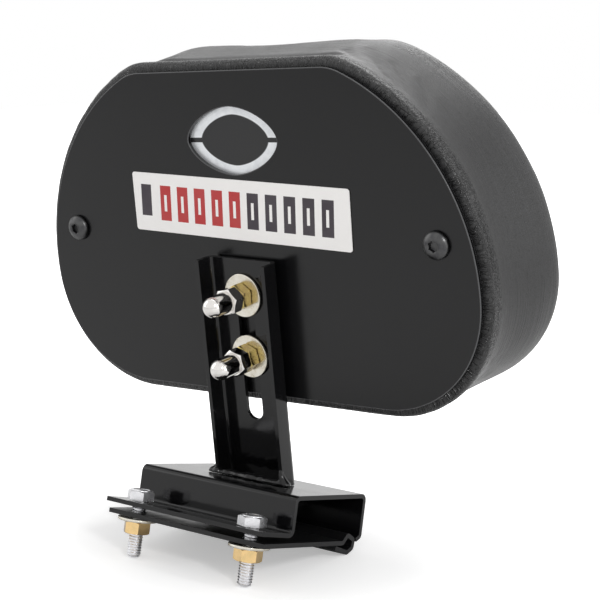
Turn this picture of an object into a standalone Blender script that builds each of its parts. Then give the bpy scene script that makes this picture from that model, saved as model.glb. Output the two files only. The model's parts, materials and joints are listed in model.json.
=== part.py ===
"""Clamp-on scooter backrest: a padded back on a slotted upright, welded to a rack clamp.

Metres, +Z up. The backrest stands on the tips of its two clamp bolts and on the curled front
edge of its clamp plate. X runs to the side, -Y is the rear, where the fasteners show, and +Y is
the padded front. Sheet metal pieces are folded strips, fasteners are turned or hexagonal.
"""
import math

import bmesh
import bpy
from mathutils import Matrix, Vector

# Fits shared by all pieces
SEAT_GAP = 0.0003
SHEET = 0.0024
BEND = 0.0040

# Clamp channel, seen from its end: Y towards the pad, Z up from its outer top face
CHANNEL_LENGTH = 0.107
CHANNEL_DEPTH = 0.0652
REAR_WALL_DROP = 0.0206
REAR_FLANGE_REACH = 0.0267
REAR_FLANGE_RISE = math.radians(4.1)
FRONT_WALL_DROP = 0.0234
LIP_LENGTH = 0.0042
LIP_SLOPE = math.radians(25.0)
LIP_BEND = 0.0028

# Clamp plate under the channel, with its curled front edge
PLATE_GAP = 0.0034
PLATE_REAR_REACH = 0.0225
PLATE_SLOPE = math.radians(1.1)
CURL_WIDTH = 0.0099
CURL_HEIGHT = 0.0096
CURL_RETURN = 0.0112
CURL_BEND = 0.0016
CURL_RISE_SHARE = 0.44
CURL_CREST_SHARE = 0.40
CURL_FRONT_SHARE = 0.36
CURL_DROP_SHARE = 0.30
CURL_FOLD_SHARE = 0.48
CURL_TUCK_SHARE = 0.2
LIP_CLEARANCE = 0.0005

# Hexagon fasteners of the 8 mm class
THREAD_DIAMETER = 0.0080
HEX_WIDTH = 0.0132
NUT_HEIGHT = 0.0067
BOLT_HEAD_HEIGHT = 0.0052
HOLE_PLAY = 0.0006
THREAD_PLAY = 0.0003
HEX_CHAMFER = 0.0008
HEX_FACE_SHARE = 0.97
HEX_CHAMFER_SLOPE = math.tan(math.radians(30))
WASHER_EDGE_SHARE = 0.15
POINT_CHAMFER = 0.0009
BOLT_TURN = math.radians(8)
CLAMP_NUT_TURN = math.radians(12)

# Clamp bolts
CLAMP_BOLT_SPACING = 0.0772
CLAMP_BOLT_REACH = 0.0150
CLAMP_BOLT_LENGTH = 0.0307
CLAMP_WASHER_DIAMETER = 0.0220
CLAMP_WASHER_THICKNESS = 0.0016

# Upright channel, welded on at a lean, with its open side to the rear
UPRIGHT_POSITION = 0.0438
UPRIGHT_LEAN = math.radians(19.74)
UPRIGHT_WIDTH = 0.0473
UPRIGHT_DEPTH = 0.0127
UPRIGHT_HEIGHT = 0.1272
SLOT_WIDTH = 0.0110
SLOT_BOTTOM = 0.0365
SLOT_TOP = 0.1160
WELD_RADIUS = 0.0030
WELD_LUMP = 0.0042
WELD_OVERHANG = 0.0040
WELD_SEGMENTS = 24
WELD_SIDES = 8
WELD_WAVES = (23.0, 9.0)
WELD_WAVE_SHARE = 0.35
WELD_LUMP_SHARE = 0.45
WELD_END_SHARE = 0.25

# Pad fasteners in the slot
PAD_BOLT_HEIGHT = 0.0904
PAD_BOLT_SPACING = 0.0341
PAD_SIDE_SHIFT = 0.0006
PAD_TURN = math.radians(1.8)
SPACER_DIAMETER = 0.0160
SPACER_THICKNESS = 0.0013
SLOT_WASHER_DIAMETER = 0.0240
SLOT_WASHER_THICKNESS = 0.0016
CAP_NUT_HEX_HEIGHT = 0.0068
CAP_NUT_COLLAR = 0.0057
CAP_NUT_LENGTH = 0.0225
PAD_BOLT_HEAD_DIAMETER = 0.0170
PAD_BOLT_HEAD_HEIGHT = 0.0032
UPPER_NUT_TURN = 5
LOWER_NUT_TURN = -10
CAP_NUT_EXTRA_TURN = 8
DOME_STEPS = 5

# Back plate outline
BACK_THICKNESS = 0.0025
BACK_HALF_WIDTH = 0.1444
BACK_HEIGHT = 0.1774
LOWER_CORNER_RADIUS = 0.0625
WIDEST_HEIGHT = 0.0640
UPPER_SIDE_RADIUS = 0.1220
TOP_CORNER_RADIUS = 0.0300
LOWER_BOLT_HEIGHT = 0.0233
BUTTON_INSET = 0.0220
BUTTON_SPACING = 2 * (BACK_HALF_WIDTH - BUTTON_INSET)
BUTTON_HEIGHT = 0.0892
BUTTON_DIAMETER = 0.0146
BUTTON_DOME = 0.0044
BUTTON_SOCKET_WIDTH = 0.0050
BUTTON_SOCKET_DEPTH = 0.0026
BUTTON_SHANK = 0.0115
BUTTON_RIM_SHARE = 0.2
BUTTON_DOME_REACH = math.radians(68)
WINDOW_WIDTH = 0.0606
WINDOW_TALL = 0.0362
WINDOW_POWER = 0.85
WINDOW_STEPS = 32
BACKING_MARGIN = 0.0045
BACKING_TO_FLAP = 0.0026
BACKING_THICKNESS = 0.0008
LABEL_LENGTH = 0.1476
LABEL_TALL = 0.0329
LABEL_HEIGHT = 0.1031
LABEL_SHIFT = -0.0010
LABEL_TURN = math.radians(2.7)
LABEL_THICKNESS = 0.0004
LABEL_CORNER = 0.0020

# Pad board, cover and foam
BOARD_THICKNESS = 0.0080
BOARD_OVERHANG = 0.0027
BOARD_CHAMFER = 0.0012
TEE_FLANGE_DIAMETER = 0.0220
TEE_FLANGE_THICKNESS = 0.0014
TEE_BARREL_WALL = 0.0012
TEE_BARREL_LENGTH = 0.0060
COVER_THICKNESS = 0.0012
COVER_FLAP = 0.0120
WINDOW_HEIGHT = BACK_HEIGHT - COVER_FLAP - BACKING_TO_FLAP - BACKING_MARGIN - WINDOW_TALL / 2
COVER_EDGE_RADIUS = 0.0030
COVER_NEAR_OVERHANG = 0.0050
WAIST_OVERHANG = 0.0036
WAIST_DEPTH = 0.0170
FLARE_SIDE = 0.0106
FLARE_TOP = 0.0070
FLARE_BOTTOM = 0.0030
RIM_DEPTH = 0.0705
RIM_RISE = 0.0115
FLARE_DEPTH = RIM_DEPTH - RIM_RISE
FRONT_ROUNDING = 0.0150
FRONT_ROUNDING_REACH = math.radians(80)
CROWN = 0.0100

# Facets of curved shapes
ROUND_STEPS = 24
BEND_STEPS = 4
CORNER_STEPS = 8
SIDE_STEPS = 9
EASE_STEPS = 4
CROWN_RINGS = 5
FLARE_STEPS = 5
BOTTOM_EDGE_POINTS = 5
TOP_EDGE_POINTS = 4

MATERIALS = {
    "black_paint": ((0.012, 0.012, 0.013), 0.18, 0.0),
    "plate_paint": ((0.030, 0.030, 0.032), 0.30, 0.0),
    "zinc": ((0.62, 0.62, 0.62), 0.35, 1.0),
    "yellow_zinc": ((0.62, 0.50, 0.26), 0.35, 1.0),
    "chrome": ((0.80, 0.79, 0.77), 0.08, 1.0),
    "black_oxide": ((0.02, 0.02, 0.02), 0.40, 0.6),
    "silver_sheet": ((0.75, 0.76, 0.78), 0.35, 0.6),
    "label_film": ((0.88, 0.88, 0.86), 0.40, 0.0),
    "leatherette": ((0.013, 0.013, 0.014), 0.35, 0.0),
    "foam": ((0.75, 0.70, 0.50), 0.95, 0.0),
    "board": ((0.42, 0.28, 0.15), 0.80, 0.0),
}


# Scene objects and materials

def clear_scene():
    for old in list(bpy.data.objects):
        bpy.data.objects.remove(old, do_unlink=True)


def material(name):
    """A Principled material of the table above, made once."""
    found = bpy.data.materials.get(name)
    if found:
        return found
    colour, roughness, metallic = MATERIALS[name]
    made = bpy.data.materials.new(name)
    made.use_nodes = True
    shader = made.node_tree.nodes["Principled BSDF"]
    shader.inputs["Base Color"].default_value = (*colour, 1.0)
    shader.inputs["Roughness"].default_value = roughness
    shader.inputs["Metallic"].default_value = metallic
    return made


def empty(name, parent=None, location=(0, 0, 0), rotation=(0, 0, 0)):
    made = bpy.data.objects.new(name, None)
    bpy.context.scene.collection.objects.link(made)
    made.parent = parent
    made.location = location
    made.rotation_euler = rotation
    return made


def add_object(name, bm, parent=None, finish="zinc", location=(0, 0, 0), rotation=(0, 0, 0)):
    """Closes off a bmesh as a named object with its faces pointing out."""
    bmesh.ops.recalc_face_normals(bm, faces=bm.faces)
    mesh = bpy.data.meshes.new(name)
    bm.to_mesh(mesh)
    bm.free()
    mesh.shade_smooth()
    mesh.set_sharp_from_angle(angle=math.radians(32))
    mesh.materials.append(material(finish))
    made = bpy.data.objects.new(name, mesh)
    bpy.context.scene.collection.objects.link(made)
    made.parent = parent
    made.location = location
    made.rotation_euler = rotation
    return made


def shape_with(target, tool, operation):
    """Applies one exact Boolean to target, in their shared frame, and removes the tool."""
    modifier = target.modifiers.new(operation.lower(), "BOOLEAN")
    modifier.operation = operation
    modifier.solver = "EXACT"
    modifier.object = tool
    bpy.context.view_layer.update()
    evaluated = target.evaluated_get(bpy.context.evaluated_depsgraph_get())
    result = bpy.data.meshes.new_from_object(evaluated)
    target.modifiers.clear()
    old = target.data
    target.data = result
    result.name = target.name
    bpy.data.meshes.remove(old)
    bpy.data.objects.remove(tool, do_unlink=True)
    result.shade_smooth()
    result.set_sharp_from_angle(angle=math.radians(32))
    return target


# Outlines and solids

def ring_points(radius, steps=ROUND_STEPS, start=0.0):
    return [(radius * math.cos(start + math.tau * i / steps),
             radius * math.sin(start + math.tau * i / steps)) for i in range(steps)]


def hexagon(width):
    return ring_points(width / math.sqrt(3), 6, math.radians(30))


def stadium(width, length):
    """A slot outline: round ends, its length along the second coordinate."""
    radius = width / 2
    half = length / 2 - radius
    steps = ROUND_STEPS // 2
    points = []
    for centre, start in ((half, 0.0), (-half, math.pi)):
        for i in range(steps + 1):
            angle = start + math.pi * i / steps
            points.append((radius * math.cos(angle), centre + radius * math.sin(angle)))
    return points


def arc(centre, radius, start, end, steps):
    return [(centre[0] + radius * math.cos(start + (end - start) * i / steps),
             centre[1] + radius * math.sin(start + (end - start) * i / steps))
            for i in range(steps + 1)]


def rounded_path(points, radii):
    """Replaces each inner corner of an open line by an arc of its radius."""
    path = [Vector(points[0])]
    for before, corner, after, radius in zip(points, points[1:], points[2:], radii):
        corner = Vector(corner)
        towards = (Vector(before) - corner).normalized()
        onwards = (Vector(after) - corner).normalized()
        half = towards.angle(onwards) / 2
        reach = radius / math.tan(half)
        centre = corner + (towards + onwards).normalized() * radius / math.sin(half)
        first = corner + towards * reach - centre
        turn = first.angle_signed(corner + onwards * reach - centre)
        for i in range(BEND_STEPS + 1):
            angle = -turn * i / BEND_STEPS
            step = Matrix.Rotation(angle, 2) @ first
            path.append(centre + step)
    path.append(Vector(points[-1]))
    return path


def sheet_outline(path, thickness):
    """The closed outline of a sheet whose middle line is path."""
    left = []
    right = []
    last = len(path) - 1
    for i, point in enumerate(path):
        before = (point - path[i - 1]).normalized() if i else None
        after = (path[i + 1] - point).normalized() if i < last else None
        if before is None or after is None:
            along = after or before
            stretch = 1.0
        else:
            along = (before + after).normalized()
            stretch = 1.0 / max(along.dot(after), 0.2)
        side = Vector((-along.y, along.x)) * thickness / 2 * stretch
        left.append(point + side)
        right.append(point - side)
    return [tuple(p) for p in left + right[::-1]]


def prism(outline, low, high, place):
    """A solid between two levels; place turns (a, b, level) into x, y, z."""
    bm = bmesh.new()
    lower = [bm.verts.new(place(a, b, low(a, b) if callable(low) else low)) for a, b in outline]
    upper = [bm.verts.new(place(a, b, high)) for a, b in outline]
    bm.faces.new(lower[::-1])
    bm.faces.new(upper)
    for i in range(len(outline)):
        j = (i + 1) % len(outline)
        bm.faces.new((lower[i], lower[j], upper[j], upper[i]))
    return bm


def along_x(a, b, level):
    return (level, a, b)


def along_y(a, b, level):
    return (a, level, b)


def along_z(a, b, level):
    return (a, b, level)


def turned(profile, steps=ROUND_STEPS):
    """A solid turned about Z from (radius, height) points; radius 0 closes an end."""
    bm = bmesh.new()
    rings = []
    for radius, height in profile:
        if radius == 0.0:
            rings.append([bm.verts.new((0, 0, height))])
        else:
            rings.append([bm.verts.new((x, y, height)) for x, y in ring_points(radius, steps)])
    for lower, upper in zip(rings, rings[1:]):
        bridge(bm, lower, upper)
    if len(rings[0]) > 1 and profile[0] == profile[-1]:
        bmesh.ops.remove_doubles(bm, verts=bm.verts, dist=1e-7)
    return bm


def bridge(bm, lower, upper):
    """Faces between two rings, either of which may be a single point."""
    count = max(len(lower), len(upper))
    for i in range(count):
        j = (i + 1) % count
        corners = []
        for vert in (lower[i % len(lower)], lower[j % len(lower)],
                     upper[j % len(upper)], upper[i % len(upper)]):
            if vert not in corners:
                corners.append(vert)
        bm.faces.new(corners)


def washer_mesh(outer, inner, thickness):
    edge = thickness * WASHER_EDGE_SHARE
    ro = outer / 2
    ri = inner / 2
    return turned([(ri, 0), (ro - edge, 0), (ro, edge), (ro, thickness - edge),
                   (ro - edge, thickness), (ri, thickness), (ri, 0)])


def hex_solid(name, width, height, chamfer_ends, finish):
    """A hexagon prism along +Z whose corners are turned down at the named ends."""
    body = add_object(name, prism(hexagon(width), 0.0, height, along_z), finish=finish)
    corner = width / math.sqrt(3) + HEX_CHAMFER
    over = HEX_CHAMFER
    point = width / 2 * HEX_FACE_SHARE - over / HEX_CHAMFER_SLOPE
    fall = (corner - point) * HEX_CHAMFER_SLOPE - over
    foot = ((point, -over), (corner, fall)) if "bottom" in chamfer_ends else ((corner, -over),)
    head = ((corner, height - fall), (point, height + over))
    if "top" not in chamfer_ends:
        head = ((corner, height + over),)
    cone = add_object("cone", turned([(0.0, -over), *foot, *head, (0.0, height + over)]))
    return shape_with(body, cone, "INTERSECT")


def drill(target, radius, low, high, at=(0.0, 0.0), place=along_z):
    """Cuts a round hole through target between two levels of its own frame."""
    outline = [(at[0] + x, at[1] + y) for x, y in ring_points(radius)]
    return shape_with(target, add_object("drill", prism(outline, low, high, place)), "DIFFERENCE")


def set_place(item, parent, location=(0, 0, 0), rotation=(0, 0, 0)):
    item.parent = parent
    item.location = location
    item.rotation_euler = rotation
    return item


# Clamp channel and its bolts

def flange_level(y):
    """Middle of the rear flange's sheet at a depth y, in the channel's frame."""
    return -REAR_WALL_DROP + (SHEET / 2 - y) * math.tan(REAR_FLANGE_RISE)


def clamp_channel(stand):
    mid = SHEET / 2
    rear_y = mid - REAR_FLANGE_REACH
    front_y = CHANNEL_DEPTH - mid
    lip_y = front_y - LIP_LENGTH * math.cos(LIP_SLOPE)
    lip_z = -FRONT_WALL_DROP - LIP_LENGTH * math.sin(LIP_SLOPE)
    corners = [(rear_y, flange_level(rear_y)), (mid, -REAR_WALL_DROP), (mid, -mid),
               (front_y, -mid), (front_y, -FRONT_WALL_DROP), (lip_y, lip_z)]
    path = rounded_path(corners, [BEND - mid, BEND - mid, BEND - mid, LIP_BEND - mid])
    half = CHANNEL_LENGTH / 2
    channel = add_object("clamp_channel", prism(sheet_outline(path, SHEET), -half, half, along_x),
                         stand, "black_paint")
    hole = THREAD_DIAMETER / 2 + HOLE_PLAY
    for side in (-1, 1):
        at = (side * CLAMP_BOLT_SPACING / 2, -CLAMP_BOLT_REACH)
        tool = prism([(at[0] + x, at[1] + y) for x, y in ring_points(hole)],
                     -REAR_WALL_DROP - SHEET * 2, -REAR_WALL_DROP + SHEET * 2, along_z)
        shape_with(channel, add_object("drill", tool, stand), "DIFFERENCE")
    return channel


def bolt_head_seat():
    """Level under the clamp bolts' heads, which meet the sloped flange at their rear corner."""
    rear_corner = -CLAMP_BOLT_REACH - HEX_WIDTH / math.sqrt(3)
    return flange_level(rear_corner) + SHEET / 2 / math.cos(REAR_FLANGE_RISE) + SEAT_GAP


def clamp_bolt(name, stand, side):
    """A hexagon bolt with its shank down; its frame is under the head."""
    head = hex_solid(name, HEX_WIDTH, BOLT_HEAD_HEIGHT, ("top",), "zinc")
    radius = THREAD_DIAMETER / 2
    shank = turned([(0.0, BOLT_HEAD_HEIGHT / 2), (radius, BOLT_HEAD_HEIGHT / 2),
                    (radius, POINT_CHAMFER - CLAMP_BOLT_LENGTH),
                    (radius - POINT_CHAMFER, -CLAMP_BOLT_LENGTH), (0.0, -CLAMP_BOLT_LENGTH)])
    shape_with(head, add_object("shank", shank), "UNION")
    return set_place(head, stand, (side * CLAMP_BOLT_SPACING / 2, -CLAMP_BOLT_REACH,
                                   bolt_head_seat()), (0, 0, side * BOLT_TURN))


# Clamp plate, washers and nuts, which slide together along the bolts

def plate_level(y):
    """Middle of the clamp plate's sheet at a depth y, in the channel's frame."""
    gap_at = -CLAMP_BOLT_REACH
    level = flange_level(gap_at) - SHEET - PLATE_GAP
    return level - (y - gap_at) * math.tan(PLATE_SLOPE)


def curl_front():
    """Depth of the curl's front face, just behind the channel's lip."""
    lip_reach = LIP_LENGTH * math.cos(LIP_SLOPE) + SHEET / 2 * (1 + math.sin(LIP_SLOPE))
    return CHANNEL_DEPTH - lip_reach - LIP_CLEARANCE


def clamp_plate(jaw):
    """A flat strip whose front edge rises, curls down and folds back beneath itself."""
    mid = SHEET / 2
    front = curl_front() - mid
    rear = front - CURL_WIDTH
    start = plate_level(rear)
    rise = CURL_HEIGHT * CURL_RISE_SHARE
    fold = rear + CURL_WIDTH * CURL_FOLD_SHARE
    corners = [(-PLATE_REAR_REACH, plate_level(-PLATE_REAR_REACH)),
               (rear, start),
               (rear + CURL_WIDTH * CURL_CREST_SHARE, start + rise),
               (front, start + rise * CURL_FRONT_SHARE),
               (front - CURL_BEND * CURL_TUCK_SHARE, start - CURL_HEIGHT * CURL_DROP_SHARE),
               (fold, start + rise - CURL_HEIGHT),
               (fold - CURL_RETURN, plate_level(rear - CURL_RETURN) - SHEET - SEAT_GAP)]
    path = rounded_path(corners, [CURL_BEND] * (len(corners) - 2))
    half = CHANNEL_LENGTH / 2
    plate = add_object("clamp_plate", prism(sheet_outline(path, SHEET), -half, half, along_x),
                       jaw, "black_paint")
    hole = THREAD_DIAMETER / 2 + HOLE_PLAY
    level = plate_level(-CLAMP_BOLT_REACH)
    for side in (-1, 1):
        at = (side * CLAMP_BOLT_SPACING / 2, -CLAMP_BOLT_REACH)
        tool = prism([(at[0] + x, at[1] + y) for x, y in ring_points(hole)],
                     level - SHEET, level + SHEET, along_z)
        shape_with(plate, add_object("drill", tool, jaw), "DIFFERENCE")
    return plate


def clamp_stack(jaw):
    """Washer and nut of each clamp bolt, hung one under the other below the plate."""
    under_plate = plate_level(-CLAMP_BOLT_REACH) - SHEET / 2
    lean = CLAMP_WASHER_DIAMETER / 2 * math.tan(PLATE_SLOPE)
    washer_top = under_plate - SEAT_GAP - lean
    nut_top = washer_top - CLAMP_WASHER_THICKNESS - SEAT_GAP
    for side, word in ((-1, "left"), (1, "right")):
        x = side * CLAMP_BOLT_SPACING / 2
        washer = washer_mesh(CLAMP_WASHER_DIAMETER, THREAD_DIAMETER + 2 * HOLE_PLAY,
                             CLAMP_WASHER_THICKNESS)
        add_object("clamp_washer_" + word, washer, jaw, "yellow_zinc",
                   (x, -CLAMP_BOLT_REACH, washer_top - CLAMP_WASHER_THICKNESS))
        nut = hex_solid("clamp_nut_" + word, HEX_WIDTH, NUT_HEIGHT, ("top", "bottom"), "yellow_zinc")
        drill(nut, THREAD_DIAMETER / 2 + THREAD_PLAY, -SHEET, NUT_HEIGHT + SHEET)
        set_place(nut, jaw, (x, -CLAMP_BOLT_REACH, nut_top - NUT_HEIGHT),
                  (0, 0, side * CLAMP_NUT_TURN))


# Upright channel and its weld

def upright_web():
    """Depth of the web's front face behind the back plate, past the spacers."""
    return -(SPACER_THICKNESS + 2 * SEAT_GAP)


def upright_channel(upright):
    mid = SHEET / 2
    side = UPRIGHT_WIDTH / 2 - mid
    web = upright_web() - mid
    ends = upright_web() - UPRIGHT_DEPTH
    radius = BEND + SHEET / 4 - mid
    path = rounded_path([(-side, ends), (-side, web), (side, web), (side, ends)], [radius] * 2)

    def foot(across, depth):
        """Height at which the leaning upright meets the channel's flat top."""
        return (SEAT_GAP - depth * math.sin(UPRIGHT_LEAN)) / math.cos(UPRIGHT_LEAN)

    body = add_object("upright_channel",
                      prism(sheet_outline(path, SHEET), foot, UPRIGHT_HEIGHT, along_z),
                      upright, "black_paint")
    length = SLOT_TOP - SLOT_BOTTOM
    centre = (SLOT_TOP + SLOT_BOTTOM) / 2
    outline = [(a, b + centre) for a, b in stadium(SLOT_WIDTH, length)]
    slot = add_object("slot", prism(outline, web - SHEET * 2, web + SHEET * 2, along_y), upright)
    return shape_with(body, slot, "DIFFERENCE")


def foot_weld(stand):
    """The lumpy bead across the open side of the upright's foot, past both flanges."""
    flange_end = upright_web() - UPRIGHT_DEPTH
    rear_y = UPRIGHT_POSITION + flange_end / math.cos(UPRIGHT_LEAN)
    half = UPRIGHT_WIDTH / 2
    reach = half + WELD_OVERHANG
    bm = bmesh.new()
    rings = []
    for i in range(WELD_SEGMENTS + 1):
        share = i / WELD_SEGMENTS
        x = (share * 2 - 1) * reach
        ripple = math.sin(share * WELD_WAVES[0]) * math.sin(share * WELD_WAVES[1])
        bump = WELD_WAVE_SHARE * WELD_RADIUS * ripple
        from_flange = (abs(x) - half) / (WELD_RADIUS * 1.2)
        swell = WELD_LUMP * math.exp(-from_flange ** 2) * WELD_LUMP_SHARE
        end = math.sqrt(max(0.0, 1.0 - abs(share * 2 - 1) ** WELD_SIDES))
        radius = max((WELD_RADIUS + bump + swell) * end, WELD_RADIUS * WELD_END_SHARE)
        centre_z = SEAT_GAP + radius
        centre_y = (rear_y - centre_z * math.tan(UPRIGHT_LEAN)
                    - (radius + SEAT_GAP) / math.cos(UPRIGHT_LEAN))
        ring = []
        for k in range(WELD_SIDES):
            angle = math.tau * k / WELD_SIDES
            y = centre_y + radius * math.cos(angle)
            z = centre_z + radius * math.sin(angle)
            ring.append(bm.verts.new((x, y, z)))
        rings.append(ring)
    for lower, upper in zip(rings, rings[1:]):
        bridge(bm, lower, upper)
    bm.faces.new(rings[0])
    bm.faces.new(rings[-1][::-1])
    return add_object("foot_weld", bm, stand, "black_paint")


# Back plate, its window and its label

def back_outline(offset=0.0):
    """The plate's outline, counterclockwise from the bottom, with each point's outward direction."""
    w = BACK_HALF_WIDTH
    low = LOWER_CORNER_RADIUS
    side = UPPER_SIDE_RADIUS
    top = TOP_CORNER_RADIUS
    rise = BACK_HEIGHT - top - WIDEST_HEIGHT
    across = math.sqrt((side - top) ** 2 - rise ** 2)
    meet = math.atan2(rise, across)
    pieces = [((w - low, low), low, -math.pi / 2, 0.0, CORNER_STEPS),
              ((w - side, WIDEST_HEIGHT), side, 0.0, meet, SIDE_STEPS),
              ((w - side + across, BACK_HEIGHT - top), top, meet, math.pi / 2, EASE_STEPS)]
    right = []
    for centre, radius, start, end, steps in pieces:
        for point, angle in zip(arc(centre, radius, start, end, steps),
                                [start + (end - start) * i / steps for i in range(steps + 1)]):
            outward = Vector((math.cos(angle), math.sin(angle)))
            if not right or (Vector(point) - right[-1][0]).length > 1e-5:
                right.append((Vector(point), outward))
    left = [(Vector((-p.x, p.y)), Vector((-d.x, d.y))) for p, d in right[::-1]]
    bottom = straight_points(left[-1], right[0], BOTTOM_EDGE_POINTS)
    top_edge = straight_points(right[-1], left[0], TOP_EDGE_POINTS)
    return [(p + d * offset, d) for p, d in right + top_edge + left + bottom]


def straight_points(start, end, count):
    """Points inside a straight edge, so that long edges keep even facets."""
    return [(start[0].lerp(end[0], i / (count + 1)), start[1].lerp(end[1], i / (count + 1)).normalized())
            for i in range(1, count + 1)]


def window_outline():
    """An oval whose ends are slightly drawn out."""
    points = []
    for i in range(WINDOW_STEPS):
        angle = math.tau * i / WINDOW_STEPS
        c = math.cos(angle)
        s = math.sin(angle)
        across = WINDOW_WIDTH / 2 * math.copysign(abs(c) ** (1 / WINDOW_POWER), c)
        up = WINDOW_TALL / 2 * math.copysign(abs(s) ** (1 / WINDOW_POWER), s)
        points.append((across, WINDOW_HEIGHT + up))
    return points


def back_plate(pad):
    outline = [tuple(p) for p, d in back_outline()]
    plate = add_object("back_plate", prism(outline, 0.0, BACK_THICKNESS, along_y), pad, "plate_paint")
    hole = THREAD_DIAMETER / 2 + HOLE_PLAY
    places = [(0.0, LOWER_BOLT_HEIGHT), (0.0, LOWER_BOLT_HEIGHT + PAD_BOLT_SPACING),
              (-BUTTON_SPACING / 2, BUTTON_HEIGHT), (BUTTON_SPACING / 2, BUTTON_HEIGHT)]
    for at in places:
        tool = prism([(at[0] + x, at[1] + y) for x, y in ring_points(hole)],
                     -SHEET, BACK_THICKNESS + SHEET, along_y)
        shape_with(plate, add_object("drill", tool, pad), "DIFFERENCE")
    window = prism(window_outline(), -SHEET, BACK_THICKNESS + SHEET, along_y)
    return shape_with(plate, add_object("window", window, pad), "DIFFERENCE")


def emblem_backing(pad):
    half = WINDOW_WIDTH / 2 + BACKING_MARGIN
    tall = WINDOW_TALL / 2 + BACKING_MARGIN
    outline = [(-half, WINDOW_HEIGHT - tall), (half, WINDOW_HEIGHT - tall),
               (half, WINDOW_HEIGHT + tall), (-half, WINDOW_HEIGHT + tall)]
    low = BACK_THICKNESS + SEAT_GAP
    return add_object("emblem_backing", prism(outline, low, low + BACKING_THICKNESS, along_y),
                      pad, "silver_sheet")


def label(pad):
    half = LABEL_LENGTH / 2 - LABEL_CORNER
    tall = LABEL_TALL / 2 - LABEL_CORNER
    outline = []
    for i, centre in enumerate(((half, tall), (-half, tall), (-half, -tall), (half, -tall))):
        outline += arc(centre, LABEL_CORNER, math.pi / 2 * i, math.pi / 2 * (i + 1), 3)
    high = -SEAT_GAP
    return add_object("label", prism(outline, high - LABEL_THICKNESS, high, along_y), pad,
                      "label_film", (LABEL_SHIFT, 0, LABEL_HEIGHT), (0, LABEL_TURN, 0))


# Pad fasteners; meshes along +Z are turned to point to the rear

REARWARD = (math.pi / 2, 0, 0)


def slot_fasteners(pad):
    radius = THREAD_DIAMETER / 2
    head_front = BACK_THICKNESS + SEAT_GAP + PAD_BOLT_HEAD_HEIGHT
    washer_at = -upright_web() + SHEET + SEAT_GAP
    nut_at = washer_at + SLOT_WASHER_THICKNESS + SEAT_GAP
    cap_at = nut_at + NUT_HEIGHT + SEAT_GAP
    bolt_end = cap_at + CAP_NUT_HEX_HEIGHT
    for height, word, spin in ((LOWER_BOLT_HEIGHT + PAD_BOLT_SPACING, "upper", UPPER_NUT_TURN),
                               (LOWER_BOLT_HEIGHT, "lower", LOWER_NUT_TURN)):
        head_radius = PAD_BOLT_HEAD_DIAMETER / 2
        edge = PAD_BOLT_HEAD_HEIGHT / 4
        bolt = turned([(0.0, 0.0), (head_radius * 0.6, 0.0), (head_radius - edge, edge),
                       (head_radius, PAD_BOLT_HEAD_HEIGHT - edge),
                       (head_radius, PAD_BOLT_HEAD_HEIGHT), (radius, PAD_BOLT_HEAD_HEIGHT),
                       (radius, bolt_end + head_front), (0.0, bolt_end + head_front)])
        add_object("slot_bolt_" + word, bolt, pad, "zinc", (0, head_front, height), REARWARD)
        spacer = washer_mesh(SPACER_DIAMETER, THREAD_DIAMETER + 2 * HOLE_PLAY, SPACER_THICKNESS)
        add_object("slot_spacer_" + word, spacer, pad, "zinc", (0, -SEAT_GAP, height), REARWARD)
        washer = washer_mesh(SLOT_WASHER_DIAMETER, THREAD_DIAMETER + 2 * HOLE_PLAY,
                             SLOT_WASHER_THICKNESS)
        add_object("slot_washer_" + word, washer, pad, "yellow_zinc", (0, -washer_at, height),
                   REARWARD)
        nut = hex_solid("slot_nut_" + word, HEX_WIDTH, NUT_HEIGHT, ("top", "bottom"), "yellow_zinc")
        drill(nut, radius + THREAD_PLAY, -SHEET, NUT_HEIGHT + SHEET)
        set_place(nut, pad, (0, -nut_at, height), (math.pi / 2, math.radians(spin), 0))
        cap = cap_nut("cap_nut_" + word)
        cap_turn = math.radians(spin * 2 + CAP_NUT_EXTRA_TURN)
        set_place(cap, pad, (0, -cap_at, height), (math.pi / 2, cap_turn, 0))


def cap_nut(name):
    """A tall domed nut: hexagon, collar and ball end, with a blind bore."""
    body = hex_solid(name, HEX_WIDTH, CAP_NUT_HEX_HEIGHT, ("top", "bottom"), "chrome")
    ball_at = CAP_NUT_LENGTH - CAP_NUT_COLLAR
    dome = [(CAP_NUT_COLLAR * math.cos(a), ball_at + CAP_NUT_COLLAR * math.sin(a))
            for a in [math.pi / 2 * i / DOME_STEPS for i in range(DOME_STEPS)]]
    collar = turned([(0.0, CAP_NUT_HEX_HEIGHT / 2), (CAP_NUT_COLLAR, CAP_NUT_HEX_HEIGHT / 2),
                     *dome, (0.0, CAP_NUT_LENGTH)])
    shape_with(body, add_object("collar", collar), "UNION")
    return drill(body, THREAD_DIAMETER / 2 + THREAD_PLAY, -SHEET,
                 CAP_NUT_HEX_HEIGHT + SEAT_GAP)


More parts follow.
